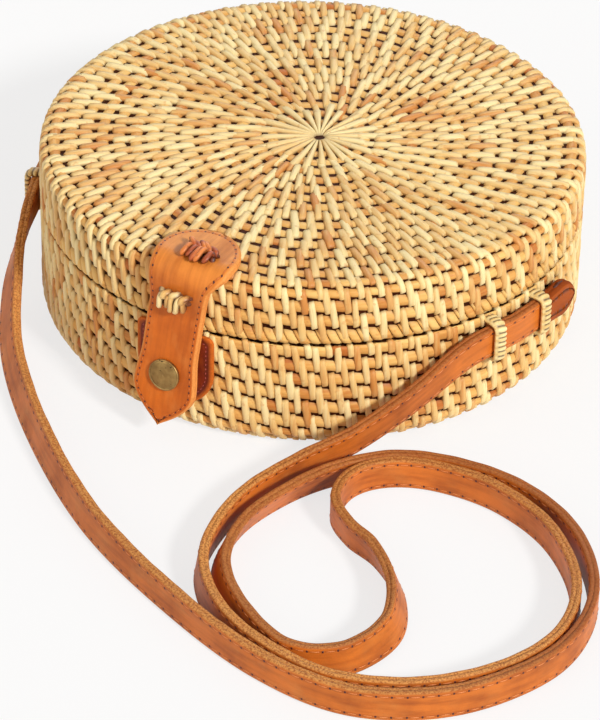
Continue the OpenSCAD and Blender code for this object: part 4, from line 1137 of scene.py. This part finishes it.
class BAG_OT_strap(bpy.types.Operator):
    """Makes the shoulder strap, its seams and its two flared ends"""

    bl_idname = "bag.strap"
    bl_label = "Strap"

    def execute(self, context):
        s, hole = context.scene.bag_strap, context.scene.bag_leather.needle_hole_shade
        line, side, up, ahead = strap_lines(s, 900)
        length = distance_along(line)
        strap = self.band(s, line, side, up, length)
        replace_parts(strap, "shoulder_strap")

        steps = int(length[-1] / s.stitch_step)
        at = (np.arange(steps) + 0.5) * length[-1] / steps
        # Each seam's face of the strap and its edge
        rows = [(face, edge) for face in (-1, 1) for edge in (-1, 1)]

        def sewn(across, along, out):
            """The strap's face: the middle line at along, up by across, out by out. Which
            face it is, is told by the stitch's number."""
            n = across.shape[0] // len(rows)
            face = np.repeat([f for f, _ in rows], n).reshape(-1, 1, 1, 1)
            k = np.interp(along, length, np.arange(len(line)))
            middle, out_way, up_way = (
                resampled(k, np.arange(len(v)), v) for v in (line, side, up))
            return middle + up_way * across[..., None] + face * out_way * out[..., None]

        spots = np.concatenate([np.stack([
            np.full(steps, edge * (s.width / 2 - s.seam_in)), at], 1) for _, edge in rows])
        slopes = np.tile([0.0, 1.0], (len(spots), 1))
        thread = thread_finish("strap_thread", linear(214, 132, 72), s.tan, hole)
        sewing = seam("strap_seams", spots, slopes, s.stitch_step,
                      s.thickness / 2 - STRAP_SUNK, sewn, thread, "base", hole=0.68 * MM)
        red = leather("strap_end_leather", s.end_tan, s.tan_deep, s.tan_deep, 3 * s.width,
                      Specular_IOR_Level=0.1)
        ends = [*self.flared_end("strap_end_right", line[0], -ahead[0], 1, s, red, thread),
                *self.flared_end("strap_end_left", line[-1], ahead[-1], -1, s, red, thread)]
        return {"FINISHED"}

    def band(self, s, line, side, up, length):
        """The leather: a closed section carried along the line, out along its side and up. The
        section has rounded corners and a groove between its layers. Its cut edges, whose
        height waves by 0.1 mm (sin 190 l + 0.6 sin(521 l + 1)), keep their own tone, whose darker
        stretches are partly painted shade."""
        h, w, c = s.thickness / 2 - STRAP_SUNK, s.width / 2, 0.8 * MM
        # A quarter of the section, (out, up), from the groove round the corner to the face
        quarter = np.array([
            (0, w - 0.35 * MM), (0.16 * MM, w - 0.04 * MM), (0.5 * h, w),
            (h - 0.6 * c, w - 0.12 * c), (h - 0.16 * c, w - 0.5 * c), (h, w - c), (h, 0.7 * w),
            (h, 0.35 * w)])
        half = np.concatenate([quarter, [[h, 0]], quarter[::-1] * [1, -1]])
        section = np.concatenate([half, half[-2:0:-1] * [-1, 1]])
        run = length[:, None]
        wave = 0.1 * MM * (np.sin(run * 190) + 0.6 * np.sin(run * 521 + 1))
        high = section[:, 1] + wave * (section[:, 1] > 0.5 * w)
        across = np.broadcast_to(section[:, 0], high.shape)
        co = line[:, None] + (side[:, None] * across[..., None] + up[:, None] * high[..., None])
        rim = np.where(np.abs(section[:, 0]) > h - 0.3 * c, w - np.abs(section[:, 1]), 0)
        # The edge's tone along the strap, whose darker stretches are partly painted shade
        tone = np.interp(run, *EDGE_TONE_AND_SHADE)
        finish = leather("strap_leather", s.tan, s.tan_deep, by_tone(s.tan_deep, s.tan_edge),
                         s.seam_in, fibres=0.8, Specular_IOR_Level=0.3)
        lie = np.stack(np.broadcast_arrays(section[:, 1], run), -1)
        return mesh_piece("shoulder_strap_leather", co, closed_grid(*high.shape), finish,
                          "leather", "base", lie, rim=np.broadcast_to(rim, high.shape),
                          tone=np.broadcast_to(tone, high.shape))

    def flared_end(self, node, start, way, sign, s, finish, thread):
        """A paddle of doubled leather: it widens evenly from the strap to a round end, where
        half its width is sqrt(wide² - t²), thicker on its outer side, with a dark strip on the
        upper edge, painted as the shade in the slit between its layers."""
        long, wide, thick = 15 * MM, 14 * MM / 2, 4.6 * MM
        slit_at, slit_out, slit_low, slit_top = 7 * MM, 0.5 * MM, 5 * MM, 7.35 * MM
        t = long * (0.5 - 0.5 * np.cos(np.linspace(0, np.pi, 40)))
        tip = long - wide
        half = np.where(t < tip, s.width / 2 + (wide - s.width / 2) * t / tip,
                        np.sqrt(np.maximum(wide**2 - np.maximum(t - tip, 0) ** 2, 0)))
        way = unit(np.array([way[0], way[1], 0.0]))
        outward = np.array([sign * 1.0, 0, 0])
        outward = unit(outward - way * outward.dot(way))

        def place(across, up, out):
            return start + way * up[..., None] + outward * out[..., None] \
                + np.array([0, 0, 1.0]) * across[..., None]

        end = leather_sheet(node + "_leather", t, (-half, half), -s.thickness / 2,
                            thick - s.thickness / 2, 1.2 * MM, place, finish, "base")
        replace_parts(end, node)
        # The slit is a flat strip in the needle holes' colour: painted shade of the gap between the
        # layers
        run, side, lift, deep = THREAD.strips(3.6 * MM, 0.65 * MM, slit_low, slit_top)
        slit = mesh_piece(node + "_slit", place(lift, slit_at + run, side + slit_out),
                          THREAD.faces(1), thread, "leather", "base",
                          np.stack([side, run], -1), tone=0 * deep, deep=deep)
        return [end, slit]


class BAG_OT_basket(bpy.types.Operator):
    """Weaves the base and the lid: stitches, coils, the core behind them and the two stars"""

    bl_idname = "bag.basket"
    bl_label = "Basketry"

    def execute(self, context):
        b = context.scene.bag_basket
        finishes = basket_finishes(b)
        lid, base = lid_wall(), base_wall()
        inner = weave("lid", lid, 17, -1, ("lid_basket", "lid_rim"), b, finishes, seed=11)
        star("lid", lid, inner, ("lid_star",), b, finishes["stitch"], seed=12)
        inner = weave("base", base, 20, 1, ("base_basket", "base_rim"), b, finishes, seed=21)
        star("base", base, inner, (), b, finishes["stitch"], seed=22)
        return {"FINISHED"}


class BAG_OT_closure(bpy.types.Operator):
    """Cuts and sews the leather closure from head to tip, and the patch behind it"""

    bl_idname = "bag.closure"
    bl_label = "Closure"

    def execute(self, context):
        c = context.scene.bag_leather
        laid = Closure(c)
        low, high = laid.bend_up - TIP_DOWN, HEAD_UP + HEAD_R
        t = np.linspace(0, 1, 190)
        up = low + (high - low) * (0.75 * t + 0.25 * (0.5 - 0.5 * np.cos(np.pi * t)))
        up = np.unique(np.concatenate([up[:-1], high - np.array([0.4, 0.12, 0]) * MM]))
        edges = closure_edges(up, laid.bend_up)
        finish = leather("closure_leather", by_tone(c.tan, c.tan_head_sheen), c.tan_deep, c.tan_edge,
                         c.seam_in, Specular_IOR_Level=0.28)
        # Painted sheen: the head is painted paler towards its top, where it catches the light
        head_sheen = smooth(up, laid.bend_up + 4 * MM, HEAD_UP + 6 * MM)
        sheet = leather_sheet("closure_leather_sheet", up, edges, laid.under, laid.high,
                              1.1 * MM, laid.place, finish, None, tone=head_sheen)
        spots, slopes = seam_line(up, edges, c.seam_in, c.stitch_step)
        thread = thread_finish("closure_thread", c.thread, c.tan, c.needle_hole_shade)
        sewing = seam("closure_seam", spots, slopes, c.stitch_step, laid.high, laid.place,
                      thread, None)
        start, end = (laid.place(0.0, laid.bend_up + side * 4 * MM, laid.middle)
                      for side in (1, -1))
        for piece in (sheet, sewing):
            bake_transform(piece)
        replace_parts(sheet, "tab_face", "tab_back", "flap_face", "flap_back")
        self.patch(c)
        return {"FINISHED"}

    def patch(self, c):
        """The patch lies on the base's side: y = -sqrt(radius² - x²), x = across + its middle.
        Its corners are rounded, widely at the foot."""
        thick, step, inset = 1.2 * MM, 1.9 * MM, 2.7 * MM
        low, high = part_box("clasp_patch")
        middle, wide = (low.x + high.x) / 2, (high.x - low.x) / 2
        t = np.linspace(0, 1, 60)
        up = low.z + (high.z - low.z) * (0.5 - 0.5 * np.cos(np.pi * t))
        # The radii of its corners
        foot, head = 15 * MM, 3 * MM
        near = np.where(up < low.z + foot, low.z + foot - up, 0)
        far = np.where(up > high.z - head, up - (high.z - head), 0)
        half = wide - foot + np.sqrt(np.maximum(foot**2 - near**2, 0))
        half = np.minimum(half, wide - head + np.sqrt(np.maximum(head**2 - far**2, 0)))
        edges = (-half, half)

        def place(across, up, out):
            x = across + middle
            radius = BAG_R + CLEAR + out
            return np.stack([x, -np.sqrt(radius**2 - x**2), up], -1)

        finish = leather("patch_leather", c.patch_tan, c.patch_deep, c.tan, 1.9 * MM, band=2.1,
                         Specular_IOR_Level=0.25)
        patch = leather_sheet("patch_leather_sheet", up, edges, 0.0, thick, 0.5 * MM, place,
                              finish, "base")
        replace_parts(patch, "clasp_patch")
        spots, slopes = seam_line(up, edges, inset, step)
        # The patch's needle holes take its darkest colour as painted shade
        thread = thread_finish("patch_thread", linear(190, 92, 84), c.patch_tan, c.patch_deep)
        seam("patch_seam", spots, slopes, step, thick - 0.05 * MM, place, thread, "base",
             hole=0.35 * MM)


class BAG_OT_snap(bpy.types.Operator):
    """Spins the snap's domed cap and gives the brass parts their patina"""

    bl_idname = "bag.snap"
    bl_label = "Snap"

    def execute(self, context):
        laid = Closure(context.scene.bag_leather)
        brass = brass_finish()
        for node in ("snap_stud", "snap_post", "snap_socket"):
            refinish(node, brass)
        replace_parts(self.cap(laid, brass), "snap_cap")
        return {"FINISHED"}

    def cap(self, laid, brass):
        """A closed profile (distance from the middle, height), in shares of the cap's radius
        and height, turned once about its middle on the flap: a face that rises by
        1 - (1 - t)², inside a round bead."""
        hub, gap = 0.05 * MM, 0.05 * MM
        t = np.linspace(0, 1, 12)[:-1]
        face = np.stack([0.88 * CAP_R * (1 - t), CAP_H * (0.66 + 0.12 * (1 - (1 - t) ** 2))], 1)
        bead = arc((0.94 * CAP_R, 0.5 * CAP_H), 0.06 * CAP_R, -30, 150, 10)
        profile = np.concatenate([
            [[0.98 * CAP_R, 0]], bead, face, [[hub, 0.78 * CAP_H], [hub, 0]]])
        a = around(72)
        across = profile[:, 0] * np.cos(a)
        up = laid.bend_up - SNAP_DOWN + profile[:, 0] * np.sin(a)
        out = laid.high + gap + profile[:, 1] + 0 * a
        return mesh_piece("snap_cap_brass", laid.on_flap(across, up, out),
                          [grid(*up.shape, ring=True)], brass, "brass", "flap")


class BAG_OT_knots(bpy.types.Operator):
    """Ties the two cane knots on the closure"""

    bl_idname = "bag.knots"
    bl_label = "Knots"

    def execute(self, context):
        crevice_shade = context.scene.bag_basket.crevice_shade
        laid = Closure(context.scene.bag_leather)
        # The last colour of each knot's cane is painted shade, laid on where the cane dives down
        pale = cane("cane_knot_pale", linear(248, 224, 160), linear(228, 182, 106),
                    linear(176, 108, 46), crevice_shade, Coat_Weight=0.2, Coat_Roughness=0.3)
        dark = cane("cane_knot_dark", linear(226, 130, 52), linear(176, 80, 28),
                    linear(110, 38, 10), linear(56, 14, 2), Coat_Weight=0.12, Coat_Roughness=0.3)
        for name, shift, turns, wide, slant in (
                ("lower_knot_cane", -0.6 * MM, 5, 3.0 * MM, 0.2),
                ("lower_knot_tail", 2.2 * MM, 3, 1.0 * MM, 0.9)):
            part = self.coils(name, laid, LOWER_KNOT, shift, turns, 1, wide, 1.3 * MM, slant,
                              1.0 * MM, pale, "rattan_pale")
            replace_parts(part, "lower_knot")
        for name, way in (("upper_knot_cane_front", 1), ("upper_knot_cane_rear", -1)):
            part = self.coils(name, laid, UPPER_KNOT, -way * 1.5 * MM, 5, way, 1.7 * MM,
                              1.2 * MM, way * 0.5, 0.8 * MM, dark, "rattan_deep")
            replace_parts(part, "upper_knot")
        return {"FINISHED"}

    def coils(self, name, laid, knot, shift, turns, way, wide, flat, slant, thin, material, slot):
        """Cane wound in a squashed spiral, where a grows evenly with each ring i: x runs evenly
        along the knot, plus slant times y, 0.35 mm sin(0.093 i + wide in mm) and 0.7 mm sin 2a
        with the sign of cos a. y = -wide sin a and z = flat (1 - cos a), each with its sine or
        cosine drawn flat by a power, and both uneven by sines of i. Its section is an oval,
        wide along the knot and thin the other way. It ends by going down through the leather."""
        per_turn, run = 30, KNOT_REACH
        n = per_turn * turns
        i = np.arange(n + 1)
        a = way * 2 * np.pi * i / per_turn
        uneven = 1 + 0.13 * np.sin(i * 0.13) + 0.1 * np.sin(i * 0.071 + 2)
        y = -wide * np.sign(np.sin(a)) * np.abs(np.sin(a)) ** 0.75
        z = flat * (1 - np.sign(np.cos(a)) * np.abs(np.cos(a)) ** 0.8) * uneven
        y = y * (0.8 + 0.2 * np.sin(np.pi * i / n)) * uneven
        x = -run + 2 * run * i / n + slant * y + 0.35 * MM * np.sin(i * 0.093 + wide / MM) \
            + 0.7 * MM * np.sin(2 * a) * np.sign(np.cos(a))
        down = np.array([[-run - 1.0 * MM, 0, -4 * MM], [-run - 1.0 * MM, 0, -0.2 * MM]])
        path = np.concatenate([down, np.stack([x, y, z], 1), down[::-1] * [-1, 1, 1]])
        even = np.ones(5) / 5
        eased = np.stack([np.convolve(np.pad(v, 2, "edge"), even, "valid") for v in path.T], 1)
        ahead = unit(np.gradient(eased, axis=0))
        side = unit(np.array([1.0, 0, 0]) - ahead * ahead[:, :1])
        over = np.cross(ahead, side)
        q = np.arange(10) * 2 * np.pi / 10
        broad = run / max(turns, 4) * 0.98
        co = eased[:, None] + side[:, None] * (broad * np.cos(q))[None, :, None] \
            + over[:, None] * (thin * np.sin(q))[None, :, None]
        place = laid.on_lid(knot[0] + co[..., 0], knot[1] + shift + co[..., 1],
                            laid.high + 0.55 * MM + co[..., 2])
        lie = np.stack(np.broadcast_arrays(
            broad * np.cos(q), distance_along(eased)[:, None]), -1)
        # Painted shade: darker at the sides of each turn, where it meets the next, and low down
        # against the leather
        deep = np.broadcast_to(np.abs(np.cos(q)) ** 3 * 0.9, co.shape[:2]) \
            + 0.7 * (1 - smooth(eased[:, 2:3], 0.3 * flat, 1.6 * flat))
        tone = 0.6 + 0.35 * np.sin(eased[:, :1] * 900) + 0 * q
        return mesh_piece(name, place, closed_grid(*co.shape[:2]), material, slot, "lid", lie,
                          tone=tone, deep=np.clip(deep, 0, 1))


class BAG_OT_loops(bpy.types.Operator):
    """Binds the four strap loops with cane and finishes the hinge loops"""

    bl_idname = "bag.loops"
    bl_label = "Loops"

    def execute(self, context):
        b, top_z = context.scene.bag_basket, context.scene.bag_strap.top_z
        # The binding's last colour is painted shade, laid into the gaps between its turns
        bound = cane("cane_binding", linear(246, 224, 160), linear(228, 188, 112),
                     linear(184, 128, 62), linear(64, 26, 8), Coat_Weight=0.1,
                     Coat_Roughness=0.35)
        for node, degrees in (("strap_loop_rear_right", -11), ("strap_loop_front_right", -24),
                              ("strap_loop_rear_left", 187), ("strap_loop_front_left", 200)):
            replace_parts(self.loop(node, math.radians(degrees), bound, top_z), node)
        strands = cane("cane_strands", b.cane_pale, b.cane_gold, b.cane_brown, b.crevice_shade,
                       tone=0.45, Coat_Weight=0.12, Coat_Roughness=0.35)
        for node in ("hinge_loop_left", "hinge_loop_right"):
            refinish(node, strands)
        refinish("locating_hoop", cane(
            "cane_hoop", linear(196, 130, 70), linear(160, 98, 48), linear(118, 66, 30),
            b.crevice_shade, tone=0.5, Coat_Weight=0.1))
        return {"FINISHED"}

    def loop(self, node, angle, material, top_z):
        """A closed cane through the wall and round the strap, along a rounded rectangle. Its
        section is flat and rounded too. One side is a smooth strand, and past a groove the rest
        is bound all the way: the section's size swells with |sin| of its turns."""
        out, inside, half_h, r = 6.4 * MM, -5.8 * MM, 7.5 * MM, 2.6 * MM
        thick, wide = 1.2 * MM, 2.5 * MM
        rings, sides, turns = 300, 20, 25
        closed = np.concatenate([
            arc((out - r, half_h - r), r, 0, 90), arc((inside + r, half_h - r), r, 90, 180),
            arc((inside + r, r - half_h), r, 180, 270), arc((out - r, r - half_h), r, 270, 360),
            [[out, half_h - r]]])
        total = distance_along(closed)
        s = np.arange(rings) * total[-1] / rings
        line = resampled(s, total, closed)
        ahead = unit(np.roll(line, -3, 0) - np.roll(line, 3, 0))
        outward = np.stack([ahead[:, 1], -ahead[:, 0]], 1)
        q = np.arange(sides) * 2 * np.pi / sides
        bound = smooth(np.sin(q), -0.85, -0.6)
        bind = np.abs(np.sin(np.pi * turns * s[:, None] / total[-1] + 0.6 * np.sin(q))) ** 0.7
        bind = 1 - bound * (1 - bind)
        groove = 1 - 0.18 * np.exp(-((np.sin(q) + 0.75) / 0.14) ** 2) * (np.cos(q) > 0)
        size = (0.68 + 0.32 * bind) * groove
        squash = 1 / np.maximum(np.abs(np.cos(q)), np.abs(np.sin(q))) ** 0.45
        x = line[:, :1] + outward[:, :1] * thick * np.cos(q) * squash * size
        z = line[:, 1:] + outward[:, 1:] * thick * np.cos(q) * squash * size
        y = wide * np.sin(q) * squash * size
        co = np.stack([(BAG_R + x) * np.cos(angle) - y * np.sin(angle),
                       (BAG_R + x) * np.sin(angle) + y * np.cos(angle), top_z + z], -1)
        lie = np.stack(np.broadcast_arrays(s[:, None], wide * q), -1)
        # Painted shade: darker between the binding's turns and in the groove past the smooth strand
        deep = np.clip((1 - bind) * 1.4 + (1 - groove) * 2.5, 0, 1)
        tone = 0.75 + 0.15 * np.sin(s[:, None] * 2100) + 0 * q
        return mesh_piece(node + "_binding", co, [grid(rings, sides, ring=True)], material,
                          "rattan_pale", "base", lie, tone=tone, deep=deep)


class BAG_OT_lining(bpy.types.Operator):
    """Fits the cloth linings of the base and the lid"""

    bl_idname = "bag.lining"
    bl_label = "Lining"

    def execute(self, context):
        cloth = cloth_finish()
        for body, node in (("base", "base_lining"), ("lid", "lid_lining")):
            low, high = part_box(node)
            shell = inside_of(body)
            shell[0, 1] = high.z if body == "base" else low.z
            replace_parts(self.fitted(node + "_cloth", shell, cloth, body), node)
        return {"FINISHED"}

    def fitted(self, name, shell, cloth, body):
        """Cloth on the wall's inner side: its outline drawn in by 0.08 mm and again by about
        0.67 mm, turned about Z. The free side has puckers that fade from its rim inwards, by
        sin 60 a exp(-s / 8 mm)."""
        depth = 0.12 * MM
        away = distance_along(shell)
        s = np.linspace(0, away[-1], 60)
        line = resampled(s, away, shell)
        slope = unit(np.gradient(line, axis=0))
        flip = 1 if body == "base" else -1
        inward = flip * np.stack([slope[:, 1], -slope[:, 0]], 1)
        a = around(180)
        pucker = depth * np.sin(a * 60) * np.exp(-s / (8 * MM))
        layers = []
        for off in (0.08 * MM + 0 * pucker, 0.55 * MM + (depth + pucker)):
            r = np.maximum(line[:, 0] + inward[:, 0] * off, 0.2 * MM)
            layers.append(turned(r, line[:, 1] + inward[:, 1] * off, a))
        co = np.concatenate([layers[0], layers[1][:, ::-1]], 1)
        lie = np.stack(np.broadcast_arrays(a * (BAG_R - WALL), np.concatenate([s, s[::-1]])), -1)
        piece = mesh_piece(name, co, [grid(*co.shape[:2], ring=True)], cloth, "lining", body, lie)
        return piece


OPERATORS = (
    BAG_OT_stage, BAG_OT_strap, BAG_OT_basket, BAG_OT_closure, BAG_OT_snap, BAG_OT_knots,
    BAG_OT_loops, BAG_OT_lining)
SETTINGS = {
    "bag_basket": BasketSettings, "bag_strap": StrapSettings, "bag_leather": LeatherSettings,
    "bag_stage": StageSettings}


class BAG_PT_panel(bpy.types.Panel):
    """Lists the bag's operators and settings"""

    bl_idname = "BAG_PT_panel"
    bl_label = "Round Rattan Bag"
    bl_space_type = "VIEW_3D"
    bl_region_type = "UI"
    bl_category = "Rattan Bag"

    def draw(self, context):
        for operator in OPERATORS:
            self.layout.operator(operator.bl_idname)
        for name, kind in SETTINGS.items():
            box = self.layout.box()
            for key in kind.__annotations__:
                box.prop(getattr(context.scene, name), key)


def register():
    for kind in (*SETTINGS.values(), *OPERATORS, BAG_PT_panel):
        bpy.utils.register_class(kind)
    for name, kind in SETTINGS.items():
        setattr(bpy.types.Scene, name, bpy.props.PointerProperty(type=kind))


def unregister():
    for name in SETTINGS:
        delattr(bpy.types.Scene, name)
    for kind in (BAG_PT_panel, *OPERATORS[::-1], *list(SETTINGS.values())[::-1]):
        bpy.utils.unregister_class(kind)


def main():
    """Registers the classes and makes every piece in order."""
    register()
    for operator in OPERATORS:
        group, name = operator.bl_idname.split(".")
        getattr(getattr(bpy.ops, group), name)()


if __name__ == "__main__":
    main()
